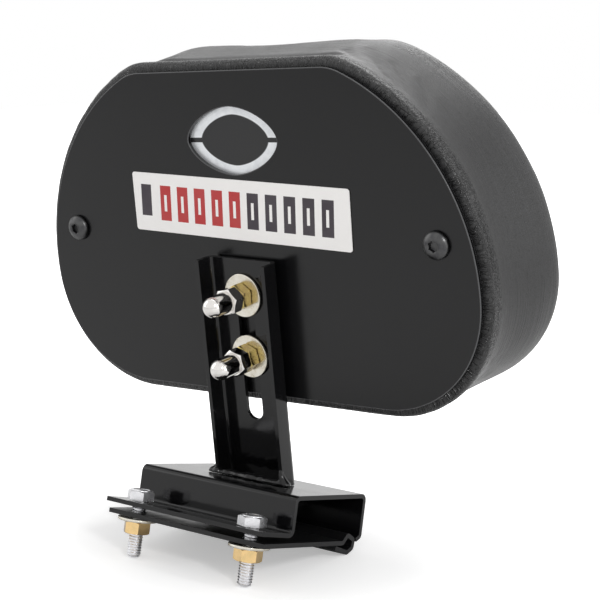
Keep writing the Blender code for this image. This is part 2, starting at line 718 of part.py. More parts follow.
def button_screws(pad):
    radius = THREAD_DIAMETER / 2
    head = BUTTON_DIAMETER / 2
    rim = BUTTON_DOME * BUTTON_RIM_SHARE
    for side, word in ((-1, "left"), (1, "right")):
        dome = [(head * math.cos(a), rim + (BUTTON_DOME - rim) * math.sin(a))
                for a in [BUTTON_DOME_REACH * i / DOME_STEPS for i in range(DOME_STEPS + 1)]]
        screw = add_object("button_screw_" + word,
                           turned([(0.0, -BUTTON_SHANK), (radius, -BUTTON_SHANK), (radius, 0.0),
                                   (head, 0.0), *dome, (0.0, dome[-1][1])]), finish="black_oxide")
        top = dome[-1][1]
        socket = prism(hexagon(BUTTON_SOCKET_WIDTH), top - BUTTON_SOCKET_DEPTH, top + SHEET, along_z)
        shape_with(screw, add_object("socket", socket), "DIFFERENCE")
        x = side * BUTTON_SPACING / 2
        set_place(screw, pad, (x, -SEAT_GAP, BUTTON_HEIGHT), REARWARD)
        bore = radius + THREAD_PLAY
        barrel = bore + TEE_BARREL_WALL
        flange = TEE_FLANGE_DIAMETER / 2
        high = TEE_FLANGE_THICKNESS
        tee = turned([(bore, 0.0), (flange, 0.0), (flange, high), (barrel, high),
                      (barrel, high + TEE_BARREL_LENGTH), (bore, high + TEE_BARREL_LENGTH),
                      (bore, 0.0)])
        add_object("tee_nut_" + word, tee, pad, "zinc", (x, board_front() - SEAT_GAP, BUTTON_HEIGHT),
                   REARWARD)


# Pad board, cover and foam

def board_back():
    return BACK_THICKNESS + 2 * SEAT_GAP + COVER_THICKNESS


def board_front():
    return board_back() + BOARD_THICKNESS


def pad_board(pad):
    levels = [(board_back(), BOARD_OVERHANG - BOARD_CHAMFER),
              (board_back() + BOARD_CHAMFER, BOARD_OVERHANG), (board_front(), BOARD_OVERHANG)]
    bm = bmesh.new()
    rings = [[bm.verts.new((p.x, y, p.y)) for p, d in back_outline(offset)] for y, offset in levels]
    for lower, upper in zip(rings, rings[1:]):
        bridge(bm, lower, upper)
    bm.faces.new(rings[0])
    bm.faces.new(rings[-1])
    board = add_object("pad_board", bm, pad, "board")
    tee_bore = THREAD_DIAMETER / 2 + THREAD_PLAY + TEE_BARREL_WALL + SEAT_GAP
    tee_seat = board_front() - 2 * SEAT_GAP - TEE_FLANGE_THICKNESS
    cuts = []
    for side in (-1, 1):
        at = (side * BUTTON_SPACING / 2, BUTTON_HEIGHT)
        cuts.append((at, tee_bore, board_back() - SHEET, board_front() + SHEET))
        cuts.append((at, TEE_FLANGE_DIAMETER / 2 + SEAT_GAP, tee_seat, board_front() + SHEET))
    head_pocket = BACK_THICKNESS + 2 * SEAT_GAP + PAD_BOLT_HEAD_HEIGHT
    for height in (LOWER_BOLT_HEIGHT, LOWER_BOLT_HEIGHT + PAD_BOLT_SPACING):
        cuts.append(((0.0, height), PAD_BOLT_HEAD_DIAMETER / 2 + HOLE_PLAY,
                     board_back() - SHEET, head_pocket))
    for at, radius, low, high in cuts:
        tool = prism([(at[0] + x, at[1] + y) for x, y in ring_points(radius)], low, high, along_y)
        shape_with(board, add_object("drill", tool, pad), "DIFFERENCE")
    return board


def flare(outward):
    """How far the cover stands past the plate at its front rim, by direction."""
    side = outward.x ** 2 * FLARE_SIDE
    if outward.y > 0:
        return side + outward.y ** 2 * FLARE_TOP
    return side + outward.y ** 2 * FLARE_BOTTOM


def cover_section(outward):
    """Outer section of the cover, as (overhang, depth), from the flap's edge to the front rim."""
    back = BACK_THICKNESS + SEAT_GAP
    near = COVER_NEAR_OVERHANG
    edge = COVER_EDGE_RADIUS
    far = flare(outward)
    section = [(-COVER_FLAP, back)]
    section += [(near - edge + edge * math.sin(a), back + edge - edge * math.cos(a))
                for a in [math.pi / 2 * i / 3 for i in range(4)]]
    section.append((near - (near - WAIST_OVERHANG) * 0.2, (back + edge + WAIST_DEPTH) / 2))
    for i in range(FLARE_STEPS + 1):
        share = i / FLARE_STEPS
        ease = share * share * (3 - 2 * share)
        section.append((WAIST_OVERHANG + (far - WAIST_OVERHANG) * ease,
                        WAIST_DEPTH + (FLARE_DEPTH - WAIST_DEPTH) * share))
    rim_high = RIM_DEPTH - FLARE_DEPTH
    section += [(far - FRONT_ROUNDING * (1 - math.cos(a)), FLARE_DEPTH + rim_high * math.sin(a))
                for a in [FRONT_ROUNDING_REACH * i / EASE_STEPS for i in range(1, EASE_STEPS + 1)]]
    return section


def inset_section(section, distance):
    """Moves each point of a section inwards, square to the section."""
    moved = []
    for i, (a, b) in enumerate(section):
        before = Vector(section[max(i - 1, 0)])
        after = Vector(section[min(i + 1, len(section) - 1)])
        along = (after - before).normalized()
        moved.append((a - along.y * distance, b + along.x * distance))
    return moved


def crown_rings(ring):
    """Inner rings and the centre point of the crowned front, from the last rim ring."""
    height = sum(z for x, y, z in ring) / len(ring)
    centre = Vector((0.0, 0.0, height))
    rings = []
    for k in range(1, CROWN_RINGS):
        share = 1.0 - k / CROWN_RINGS
        lift = CROWN * (1.0 - share ** 2)
        rings.append([(centre.x + (x - centre.x) * share, y + lift, height + (z - height) * share)
                      for x, y, z in ring])
    top = sum(y for x, y, z in ring) / len(ring) + CROWN
    return rings, (centre.x, top, height)


def padded_shell(distance, back_limit=None):
    """Rings of the cover's surface, inset by distance, each a list of points in the pad's frame."""
    columns = []
    for point, outward in back_outline():
        section = inset_section(cover_section(outward), distance)
        if distance:
            section[0] = (-COVER_FLAP, BACK_THICKNESS + SEAT_GAP + distance)
        if back_limit is not None:
            section = [(a, b) for a, b in section[5:] if b > back_limit + SEAT_GAP]
            section.insert(0, (section[0][0], back_limit))
        columns.append([(point.x + outward.x * a, b, point.y + outward.y * a) for a, b in section])
    rings = [list(ring) for ring in zip(*columns)]
    more, centre = crown_rings(rings[-1])
    return rings + more, centre


def skin(bm, rings, centre):
    """Faces over rings that end in a centre point; returns the first ring's corners."""
    made = [[bm.verts.new(p) for p in ring] for ring in rings]
    made.append([bm.verts.new(centre)])
    for lower, upper in zip(made, made[1:]):
        bridge(bm, lower, upper)
    return made[0]


def pad_cover(pad):
    bm = bmesh.new()
    outer = skin(bm, *padded_shell(0.0))
    inner = skin(bm, *padded_shell(COVER_THICKNESS))
    bridge(bm, outer, inner)
    return add_object("pad_cover", bm, pad, "leatherette")


def foam_core(pad):
    bm = bmesh.new()
    rings, centre = padded_shell(COVER_THICKNESS + SEAT_GAP, board_front() + SEAT_GAP)
    first = skin(bm, rings, centre)
    bm.faces.new(first)
    return add_object("foam_core", bm, pad, "foam")


# Assembly

def rest_lean():
    """Lean of the clamp when it rests on the bolt tips and on the curl of its plate."""
    tip = Vector((-CLAMP_BOLT_REACH + THREAD_DIAMETER / 2 - POINT_CHAMFER,
                  bolt_head_seat() - CLAMP_BOLT_LENGTH))
    rear = curl_front() - SHEET / 2 - CURL_WIDTH
    curl = Vector((rear + CURL_WIDTH * CURL_FOLD_SHARE,
                   plate_level(rear) + CURL_HEIGHT * (CURL_RISE_SHARE - 1.0) - SHEET / 2))
    return math.atan2(curl.y - tip.y, curl.x - tip.x)


def stand_on_floor(root):
    """Moves the whole part so that the bottom centre of its box is the origin."""
    bpy.context.view_layer.update()
    corners = [item.matrix_world @ vert.co for item in bpy.data.objects if item.type == "MESH"
               for vert in item.data.vertices]
    lows = [min(c[i] for c in corners) for i in range(3)]
    highs = [max(c[i] for c in corners) for i in range(3)]
    root.location = (-(lows[0] + highs[0]) / 2, -(lows[1] + highs[1]) / 2, -lows[2])


def build():
    clear_scene()
    root = empty("stand", rotation=(-rest_lean(), 0, 0))
    clamp_channel(root)
    for side, word in ((-1, "left"), (1, "right")):
        clamp_bolt("clamp_bolt_" + word, root, side)
    jaw = empty("jaw_slide", root)
    clamp_plate(jaw)
    clamp_stack(jaw)
    upright = empty("upright", root, (0, UPRIGHT_POSITION, 0), (UPRIGHT_LEAN, 0, 0))
    upright_channel(upright)
    foot_weld(root)
    turn = empty("pad_slide", upright, (PAD_SIDE_SHIFT, 0, PAD_BOLT_HEIGHT), (0, -PAD_TURN, 0))
    pad = empty("pad", turn, (0, 0, -(LOWER_BOLT_HEIGHT + PAD_BOLT_SPACING / 2)))
    back_plate(pad)
    emblem_backing(pad)
    label(pad)
    slot_fasteners(pad)
    button_screws(pad)
    pad_board(pad)
    pad_cover(pad)
    foam_core(pad)
    stand_on_floor(root)


build()
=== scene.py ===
import json
import math
import random

import bmesh
import bpy
import numpy
from mathutils import Matrix, Vector
from mathutils.noise import noise


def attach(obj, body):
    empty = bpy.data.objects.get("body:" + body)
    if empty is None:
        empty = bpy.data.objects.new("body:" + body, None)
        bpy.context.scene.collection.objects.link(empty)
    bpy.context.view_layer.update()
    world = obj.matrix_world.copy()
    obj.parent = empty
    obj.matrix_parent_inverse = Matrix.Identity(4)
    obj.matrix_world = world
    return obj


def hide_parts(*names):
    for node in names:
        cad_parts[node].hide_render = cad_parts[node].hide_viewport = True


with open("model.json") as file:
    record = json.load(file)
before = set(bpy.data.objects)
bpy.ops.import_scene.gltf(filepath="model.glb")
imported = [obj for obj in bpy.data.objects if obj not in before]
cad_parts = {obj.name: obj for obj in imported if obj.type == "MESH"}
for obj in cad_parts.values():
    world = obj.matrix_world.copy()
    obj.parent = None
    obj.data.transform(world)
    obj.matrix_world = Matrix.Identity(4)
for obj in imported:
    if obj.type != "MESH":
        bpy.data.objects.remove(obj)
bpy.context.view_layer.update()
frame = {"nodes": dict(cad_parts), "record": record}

mounts = {mount["name"]: mount for mount in frame["record"]["mounts"]}
SIDES = ((-1, "left"), (1, "right"))

# Sizes of the metal parts, as the solids have them
SHEET = 0.0024
SEAT = 0.0003
MOUNT_DEPTH = 0.036
UPRIGHT_POSITION = 0.0438
UPRIGHT_LEAN = math.radians(19.74)
PAD_SHIFT = 0.0006
PAD_TURN = math.radians(1.8)
PAD_BOLT_HEIGHT = 0.0904
BOLT_SPACING = 0.0341
LOWER_BOLT = 0.0233
PAD_PIVOT = LOWER_BOLT + BOLT_SPACING / 2

# Back plate and what is on it
PLATE_THICKNESS = 0.0025
PLATE_HALF_WIDTH = 0.1444
PLATE_HEIGHT = 0.1774
LOWER_RADIUS = 0.0625
WIDEST = 0.0640
SIDE_RADIUS = 0.1220
TOP_RADIUS = 0.0300
PLATE_EDGE = 0.0005
WINDOW_WIDTH = 0.0606
WINDOW_TALL = 0.0362
WINDOW_HEIGHT = 0.1402
WINDOW_POWER = 0.85
BUTTON_OUT = 0.1224
BUTTON_HEIGHT = 0.0892
BACKING_MARGIN = 0.0045
LABEL_LENGTH = 0.1476
LABEL_TALL = 0.0329
LABEL_HEIGHT = 0.1031
LABEL_SHIFT = -0.0010
LABEL_TURN = math.radians(2.7)
LABEL_THICKNESS = 0.0004
LABEL_CORNER = 0.0016
HOLE_RADIUS = 0.0046
HOLE_STEPS = 48
WINDOW_STEPS = 96
CUT_LEVELS = (-0.003, 0.006)

# Fasteners of the 8 mm class
SHANK = 0.0040
HEX = 0.0132
NUT_HEIGHT = 0.0067
HEAD_HEIGHT = 0.0052
THREAD_PITCH = 0.00141
THREAD_DEPTH = 0.00050
WASHER_RADIUS = 0.0120
WASHER_THICKNESS = 0.0016
CLAMP_WASHER_RADIUS = 0.0110
SPACER_THICKNESS = 0.0013
CAP_HEX_HEIGHT = 0.0068
CAP_COLLAR = 0.0057
CAP_LENGTH = 0.0225
BUTTON_RADIUS = 0.0073
BUTTON_DOME = 0.0044
SOCKET_WIDTH = 0.0050
SOCKET_DEPTH = 0.0026
BUTTON_SHANK = 0.0115
WASHER_BORE = 0.0046
NUT_BORE = SHANK + 0.0002
HEX_FACE = 0.97
HEX_CHAMFER = math.radians(30)
HEX_STEPS = 72
ARC_STEPS = 3
ARC_REACH = 0.45
THREAD_STEPS = 28
BOLT_POINT = 0.0008
BOLT_RIM = ((0.0, -0.0008), (0.43, -0.0008), (0.42, 0.0003), (0.34, 0.0004), (0.31, 0.0001),
            (0.0, 0.0001))
BOLT_OUT = 0.0386
BOLT_BACK = 0.015
BOLT_TURN = 8
CLAMP_NUT_TURN = 4
CAP_NUT_TURN = 8
CAP_OVERLAP = 0.0004

# Cushion section, as overhang past the plate and depth in front of it
COVER_BACK = PLATE_THICKNESS + SEAT
FLAP = 0.0120
EDGE_RADIUS = 0.0030
NEAR_OVERHANG = 0.0050
WAIST_OVERHANG = 0.0036
WAIST_DEPTH = 0.0170
FLARE_DEPTH = 0.0590
FLARE_SIDE = 0.0106
FLARE_TOP = 0.0070
FLARE_BOTTOM = 0.0030
RIM_DEPTH = 0.0705
FRONT_ROUNDING = 0.0150
CROWN = 0.0100
BOARD_RECESS_DEPTH = 0.0126
BOARD_RECESS_OVERHANG = 0.0030
FLAP_THICKNESS = 0.0012

# How the photograph was taken
CAMERA_AZIMUTH = math.radians(37.0)
CAMERA_ELEVATION = math.radians(9.02)
CAMERA_LENS = 91.64
CAMERA_PLACE = Vector((0.5119, -0.6053, 0.2227))
CLAMP_LEAN_SEEN = math.radians(12.0)


# Frames of the clamp, the upright and the pad

def shift(x, y, z):
    return Matrix.Translation((x, y, z))


def turn_about(axis, angle):
    return Matrix.Rotation(angle, 4, axis)


def clamp_frame():
    """The clamp channel's frame, at the rear edge of its top, from the mount under its top."""
    mount = mounts["channel_inner_top"]
    up = -Vector(mount["axis"]).normalized()
    across = Vector((1, 0, 0))
    ahead = up.cross(across)
    place = Vector(mount["pos_m"]) + up * SHEET - ahead * MOUNT_DEPTH
    turn = Matrix((across, ahead, up)).transposed().to_4x4()
    return Matrix.Translation(place) @ turn


CLAMP = clamp_frame()
UPRIGHT = CLAMP @ shift(0, UPRIGHT_POSITION, 0) @ turn_about("X", UPRIGHT_LEAN)
PAD = (UPRIGHT @ shift(PAD_SHIFT, 0, PAD_BOLT_HEIGHT) @ turn_about("Y", -PAD_TURN)
       @ shift(0, 0, -PAD_PIVOT))
REARWARD = turn_about("X", math.pi / 2)


# Shader building blocks

GRAIN_WARP = 0.0016
PAINT_GLOSS = 0.4


def put(thing, **values):
    for key, value in values.items():
        setattr(thing, key, value)
    return thing


class Tree:
    """A short way to add and join nodes in one node tree."""

    def __init__(self, tree):
        self.tree = tree

    def add(self, kind, settings=None, **inputs):
        return self.wire(put(self.tree.nodes.new(kind), **(settings or {})), **inputs)

    def wire(self, node, **inputs):
        """Feeds a node's named inputs, with _ for the blanks in their names."""
        for key, value in inputs.items():
            self.feed(node.inputs[key.replace("_", " ")], value)
        return node

    def feed(self, socket, value):
        """Joins a socket to another one, or sets its value; a colour may leave its alpha out."""
        if isinstance(value, bpy.types.NodeSocket):
            self.tree.links.new(value, socket)
        elif socket.type == "RGBA" and len(value) == 3:
            socket.default_value = (*value, 1.0)
        else:
            socket.default_value = value

    def math(self, operation, a, b=0.0):
        node = self.add("ShaderNodeMath", {"operation": operation})
        self.feed(node.inputs[0], a)
        self.feed(node.inputs[1], b)
        return node.outputs[0]

    def times(self, a, b):
        return self.math("MULTIPLY", a, b)

    def plus(self, a, b):
        return self.math("ADD", a, b)

    def minus(self, a, b):
        return self.math("SUBTRACT", a, b)

    def from_middle(self, value):
        return self.math("ABSOLUTE", self.minus(value, 0.5))

    def here(self):
        return self.add("ShaderNodeTexCoord").outputs["Object"]

    def mapped(self):
        return self.add("ShaderNodeUVMap").outputs["UV"]

    def stretch(self, place, scale, **inputs):
        return self.add("ShaderNodeMapping", Vector=place, Scale=scale, **inputs).outputs[0]

    def noise(self, place, scale, detail, **inputs):
        return self.add("ShaderNodeTexNoise", Vector=place, Scale=scale, Detail=detail,
                        **inputs).outputs["Fac"]

    def ramp(self, value, low, high, to_low=0.0, to_high=1.0):
        return self.add("ShaderNodeMapRange", {"interpolation_type": "SMOOTHSTEP"}, Value=value,
                        From_Min=low, From_Max=high, To_Min=to_low, To_Max=to_high).outputs["Result"]

    def mix(self, share, first, second):
        return self.add("ShaderNodeMix", {"data_type": "RGBA"}, Factor=share, A=first,
                        B=second).outputs["Result"]

    def group(self, group, **inputs):
        return self.add("ShaderNodeGroup", {"node_tree": group}, **inputs).outputs

    def smudge(self, scale, contrast):
        return self.group(SMUDGE, Scale=scale, Contrast=contrast)["Mask"]


def new_group(name, values, results):
    """A shader node group with named numbers, their values, and named results."""
    group = bpy.data.node_groups.new(name, "ShaderNodeTree")
    for label, value in values.items():
        socket = group.interface.new_socket(label, in_out="INPUT", socket_type="NodeSocketFloat")
        socket.default_value = value
    for label in results:
        group.interface.new_socket(label, in_out="OUTPUT", socket_type="NodeSocketFloat")
    tree = Tree(group)
    return group, tree, tree.add("NodeGroupInput").outputs, tree.add("NodeGroupOutput")


def smudge_group():
    """Slow cloudy variation over a finish: a mask for roughness and colour."""
    group, tree, given, out = new_group("smudge", {"Scale": 30.0, "Contrast": 0.5}, ["Mask"])
    cloud = tree.noise(tree.here(), given["Scale"], 4.0, Roughness=0.6)
    tree.wire(out, Mask=tree.ramp(cloud, tree.times(given["Contrast"], 0.35), 0.8))
    return group


def grain_group():
    """Pressed grain of leatherette: small cells with soft valleys, and fine pores."""
    group, tree, given, out = new_group("pressed_grain", {"Cell Scale": 700.0, "Depth": 1.0},
                                        ["Height", "Valley"])
    place = tree.here()
    warp = tree.add("ShaderNodeTexNoise", Vector=place, Scale=160.0, Detail=2.0).outputs["Color"]
    moved = tree.add("ShaderNodeVectorMath", {"operation": "MULTIPLY_ADD"})
    for socket, value in zip(moved.inputs, (warp, (GRAIN_WARP,) * 3, place)):
        tree.feed(socket, value)
    cells = tree.add("ShaderNodeTexVoronoi", {"feature": "DISTANCE_TO_EDGE"}, Vector=moved.outputs[0],
                     Scale=given["Cell Scale"]).outputs["Distance"]
    valley = tree.ramp(cells, 0.0, 0.16, 1.0, 0.0)
    pores = tree.times(tree.noise(place, 2600.0, 1.0), 0.35)
    tree.wire(out, Height=tree.times(tree.minus(pores, valley), given["Depth"]), Valley=valley)
    return group


def scuff_group():
    """Fine scratches in two directions, with a grit of dark specks."""
    group, tree, given, out = new_group("scuffs", {"Density": 0.5}, ["Scratch", "Speck"])
    place = tree.here()
    marks = [tree.ramp(tree.noise(tree.stretch(place, scale, Rotation=(0.3, turn, turn)), 1.0, 2.0),
                       0.60, 0.72)
             for turn, scale in ((0.5, (2600.0, 130.0, 700.0)), (2.1, (900.0, 2400.0, 160.0)))]
    tree.wire(out, Scratch=tree.times(tree.math("MAXIMUM", *marks), given["Density"]),
              Speck=tree.ramp(tree.noise(place, 1500.0, 2.0), 0.62, 0.70))
    return group


SMUDGE = smudge_group()
GRAIN = grain_group()
SCUFF = scuff_group()


def finish(name, **values):
    """A material with its Principled shader and plain values set on it."""
    made = bpy.data.materials.new(name)
    made.use_nodes = True
    tree = Tree(made.node_tree)
    return made, tree, tree.wire(made.node_tree.nodes["Principled BSDF"], **values)


def bump(tree, shader, height, strength, distance):
    node = tree.add("ShaderNodeBump", Height=height, Strength=strength, Distance=distance)
    tree.wire(shader, Normal=node.outputs["Normal"])


def coat(tree, shader, base, specks, colour, rough, scratches):
    """The colour with specks of another colour, and the roughness with scratches."""
    tree.wire(shader, Base_Color=tree.mix(specks, base, colour), Roughness=tree.plus(rough, scratches))


def painted(name, colour, low_rough, high_rough, peel):
    """Sprayed paint: even colour, slight orange peel and dust in the gloss."""
    made, tree, shader = finish(name, Metallic=0.0, Specular_IOR_Level=PAINT_GLOSS)
    smudge = tree.smudge(45.0, 0.6)
    scuff = tree.group(SCUFF, Density=0.3)
    coat(tree, shader, colour, tree.times(scuff["Speck"], 0.5),
         tuple(c * 1.7 + 0.004 for c in colour), tree.ramp(smudge, 0.0, 1.0, low_rough, high_rough),
         tree.times(scuff["Scratch"], 0.08))
    bump(tree, shader, tree.noise(tree.here(), 420.0, 1.0), peel, 0.0004)
    return made


def plated(name, colour, tint, low_rough, high_rough, wear):
    """Plated steel: cloudy tint, fine scratches and a little grit."""
    made, tree, shader = finish(name, Metallic=1.0)
    smudge = tree.smudge(260.0, 0.9)
    scuff = tree.group(SCUFF, Density=wear)
    coat(tree, shader, tree.mix(smudge, colour, tint), tree.times(scuff["Speck"], wear),
         tuple(c * 0.35 for c in colour), tree.ramp(smudge, 0.0, 1.0, low_rough, high_rough),
         tree.times(scuff["Scratch"], 0.2))
    bump(tree, shader, scuff["Scratch"], 0.15, 0.0002)
    return made


def crinkle_group():
    """Puckers of leatherette drawn over a shoulder, creases, and long faint pulls round its side."""
    group, tree, given, out = new_group("crinkles", {"Start": 0.0020, "End": 0.0150},
                                        ["Pucker", "Pull", "Crease"])
    spot = tree.mapped()
    depth = tree.add("ShaderNodeSeparateXYZ", Vector=spot).outputs["Y"]
    rise = tree.ramp(depth, given["Start"], tree.plus(given["Start"], 0.001))
    fall = tree.ramp(depth, tree.times(given["End"], 0.5), given["End"], 1.0, 0.0)
    slack = tree.noise(spot, 45.0, 2.0)
    band = tree.times(tree.times(rise, fall), tree.ramp(slack, 0.35, 0.6, 0.5, 1.0))
    puckers = tree.noise(tree.stretch(spot, (300.0, 190.0, 1.0)), 1.0, 2.5, Roughness=0.55,
                         Distortion=1.6)
    crest = tree.ramp(tree.from_middle(puckers), 0.0, 0.10, 1.0, 0.0)
    pulls = tree.noise(tree.stretch(spot, (9.0, 900.0, 1.0)), 1.0, 3.0, Distortion=0.3)
    folds = tree.noise(tree.stretch(spot, (34.0, 230.0, 1.0)), 1.0, 2.0, Distortion=0.8)
    ridge = tree.ramp(tree.from_middle(folds), 0.0, 0.03, 1.0, 0.0)
    tree.wire(out, Pucker=tree.times(crest, band), Pull=tree.ramp(pulls, 0.42, 0.72),
              Crease=tree.times(ridge, band))
    return group


def leatherette():
    """Worn black leatherette: pressed grain, and crinkles that shine on their crests."""
    made, tree, shader = finish("black_leatherette", Metallic=0.0, Specular_IOR_Level=0.5)
    grain = tree.group(GRAIN, Cell_Scale=900.0, Depth=1.0)
    smudge = tree.smudge(22.0, 0.5)
    folds = tree.group(crinkle_group())
    worn = tree.mix(tree.times(smudge, 0.5), (0.020, 0.020, 0.021), (0.032, 0.032, 0.033))
    rough = tree.ramp(smudge, 0.0, 1.0, 0.27, 0.36)
    # The grain's valleys are painted darker than the rest: painted shade in the grain
    tree.wire(shader, Base_Color=tree.mix(grain["Valley"], worn, (0.010, 0.010, 0.010)),
              Roughness=tree.minus(rough, tree.times(folds["Pucker"], 0.20)))
    height = tree.times(grain["Height"], 0.05)
    for name, depth in (("Pull", 0.13), ("Pucker", 1.0), ("Crease", -0.5)):
        height = tree.plus(height, tree.times(folds[name], depth))
    bump(tree, shader, height, 1.0, 0.0008)
    return made


def label_print():
    """White film printed with rows of plain slanted blocks."""
    made, tree, shader = finish("label_print", Metallic=0.0)
    spot = tree.add("ShaderNodeSeparateXYZ", Vector=tree.mapped()).outputs
    slant = tree.minus(spot["X"], tree.times(spot["Y"], LABEL_SLANT))

    def between(value, low, high):
        return tree.times(tree.math("GREATER_THAN", value, low), tree.math("LESS_THAN", value, high))

    def bar(left, right, low, high):
        return tree.times(between(slant, left, right), between(spot["Y"], low, high))

    colour = PAPER
    for place, ink in label_bars():
        colour = tree.mix(bar(*place), colour, ink)
    cloud = tree.smudge(60.0, 0.5)
    tree.wire(shader, Base_Color=tree.mix(tree.times(cloud, 0.06), colour, (0.5, 0.5, 0.5)),
              Roughness=tree.ramp(cloud, 0.0, 1.0, 0.34, 0.44))
    return made


def silver_film():
    """Silver film printed dark but for a plain ring, which is broken at its two sides."""
    made, tree, shader = finish("silver_film", Specular_IOR_Level=0.5)
    spot = tree.add("ShaderNodeSeparateXYZ", Vector=tree.mapped()).outputs
    across, up = [tree.math("ABSOLUTE", spot[axis]) for axis in "XY"]
    reach = tree.plus(*[tree.math("POWER", value, RING_POWER) for value in (across, up)])
    inside = tree.ramp(reach, *RING_INSIDE, 1.0, 0.0)
    dark = tree.math("MAXIMUM", inside, tree.math("LESS_THAN", up, RING_BREAK))
    cloud = tree.smudge(260.0, 0.9)
    silver = tree.mix(cloud, (0.90, 0.92, 0.94), (0.76, 0.78, 0.81))
    tree.wire(shader, Base_Color=tree.mix(dark, silver, (0.012, 0.012, 0.013)),
              Metallic=tree.times(tree.minus(1.0, dark), 0.5),
              Roughness=tree.ramp(cloud, 0.0, 1.0, 0.28, 0.40))
    return made


def plywood():
    made, tree, shader = finish("plywood", Metallic=0.0)
    cloud = tree.smudge(90.0, 0.7)
    tree.wire(shader, Base_Color=tree.mix(cloud, PLY, PLY_DARK),
              Roughness=tree.ramp(cloud, 0.0, 1.0, 0.72, 0.8))
    bump(tree, shader, cloud, 0.2, 0.0005)
    return made


RING_POWER = 1.7
RING_INSIDE = (0.60, 0.64)
RING_BREAK = 0.07
PLY = (0.42, 0.28, 0.15)
PLY_DARK = (0.294, 0.196, 0.105)
RED = (0.50, 0.02, 0.02)
DARK = (0.03, 0.02, 0.03)
PAPER = (0.97, 0.95, 0.93)
LABEL_BLOCKS = 5
LABEL_BLOCK = 0.052
LABEL_BLOCK_STEP = 0.083
LABEL_ROWS = (0.20, 0.80)
LABEL_SLANT = 0.012
LABEL_MARK = (0.030, 0.080, 0.26, 0.80)
LABEL_ROW_START = 0.125


def label_bars():
    """Places and inks of a small bar, then plain red blocks and plain dark ones, all open inside."""
    bars = [(LABEL_MARK, DARK)]
    for i in range(LABEL_BLOCKS * 2):
        left = LABEL_ROW_START + i * LABEL_BLOCK_STEP
        ink = RED if i < LABEL_BLOCKS else DARK
        bars.append(((left, left + LABEL_BLOCK, *LABEL_ROWS), ink))
        bars.append(((left + LABEL_BLOCK * 0.36, left + LABEL_BLOCK * 0.60, 0.36, 0.64), PAPER))
    return bars


GLOSS_BLACK = painted("gloss_black_paint", (0.004, 0.004, 0.0045), 0.07, 0.14, 0.05)
SATIN_BLACK = painted("satin_black_paint", (0.0035, 0.0035, 0.004), 0.20, 0.25, 0.03)
JAW_BLACK = painted("clamp_black_paint", (0.004, 0.004, 0.0045), 0.34, 0.44, 0.05)
# Lighter grey for the back plate's bevelled edges: a painted highlight, the bright line along the plate's
# edges
EDGE_HIGHLIGHT_PAINT = painted("painted_edge_highlight", (0.075, 0.075, 0.078), 0.25, 0.35, 0.04)
ZINC = plated("bright_zinc", (0.84, 0.84, 0.86), (0.74, 0.74, 0.76), 0.26, 0.38, 0.25)
WASHER_ZINC = plated("washer_zinc", (0.78, 0.75, 0.67), (0.68, 0.63, 0.52), 0.20, 0.30, 0.25)
YELLOW_ZINC = plated("yellow_zinc", (0.88, 0.62, 0.30), (0.74, 0.54, 0.26), 0.14, 0.24, 0.15)
JAM_ZINC = plated("olive_zinc", (0.54, 0.43, 0.16), (0.38, 0.27, 0.13), 0.14, 0.24, 0.2)
CHROME = plated("polished_chrome", (0.82, 0.80, 0.77), (0.74, 0.71, 0.68), 0.04, 0.10, 0.15)
BLACK_OXIDE = plated("black_oxide", (0.10, 0.10, 0.10), (0.06, 0.06, 0.065), 0.30, 0.42, 0.3)
SILVER_FILM = silver_film()
LEATHERETTE = leatherette()
LABEL_PRINT = label_print()
PLYWOOD = plywood()


# Pieces and meshes

def new_object(name, data):
    made = bpy.data.objects.new(name, data)
    bpy.context.scene.collection.objects.link(made)
    return made


def mesh_from(bm, name):
    """A mesh with a bmesh's faces; the bmesh is freed."""
    mesh = bpy.data.meshes.new(name)
    bm.to_mesh(mesh)
    bm.free()
    return mesh


def finished_mesh(made):
    """A plain mesh of what an object's modifiers make."""
    bpy.context.view_layer.update()
    evaluated = made.evaluated_get(bpy.context.evaluated_depsgraph_get())
    return bpy.data.meshes.new_from_object(evaluated)


def smooth(mesh, degrees):
    """Shades a mesh smooth but for the edges that turn by more than an angle."""
    mesh.shade_smooth()
    mesh.set_sharp_from_angle(angle=math.radians(degrees))


def piece(node, bm, place, body, stuff, slot, angle=34):
    """The finished piece for a CAD node: its place goes into the mesh, and it rides on its body."""
    bmesh.ops.remove_doubles(bm, verts=bm.verts, dist=1e-7)
    bmesh.ops.recalc_face_normals(bm, faces=bm.faces)
    name = node + "_finish"
    mesh = mesh_from(bm, name)
    mesh.transform(place)
    mesh.materials.append(stuff)
    smooth(mesh, angle)
    made = new_object(name, mesh)
    seat(made, body, slot, node)
    return made


def seat(made, body, slot, *replaced):
    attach(made, body)
    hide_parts(*replaced)


def bevelled(made, width, segments=2, angle=30, edge=None):
    """Rounds a piece's sharp edges by applying a Bevel; edge is a finish for its faces."""
    modifier = put(made.modifiers.new("edge", "BEVEL"), width=width, segments=segments,
                   limit_method="ANGLE", angle_limit=math.radians(angle))
    if edge:
        made.data.materials.append(edge)
        modifier.material = len(made.data.materials) - 1
    put(made.modifiers.new("normals", "WEIGHTED_NORMAL"), keep_sharp=True)
    apply_modifiers(made)


def apply_modifiers(made):
    mesh = finished_mesh(made)
    made.modifiers.clear()
    old = made.data
    made.data = mesh
    mesh.name = made.name
    bpy.data.meshes.remove(old)


def dressed_copy(node, body, stuff, width):
    """A copy of a CAD node with its facets merged and its sheared edges softened."""
    bm = bmesh.new()
    bm.from_mesh(frame["nodes"][node].data)
    bmesh.ops.remove_doubles(bm, verts=bm.verts, dist=1e-6)
    bmesh.ops.dissolve_limit(bm, angle_limit=math.radians(1.0), verts=bm.verts, edges=bm.edges)
    bevelled(piece(node, bm, Matrix.Identity(4), body, stuff, "black_paint", 180), width)


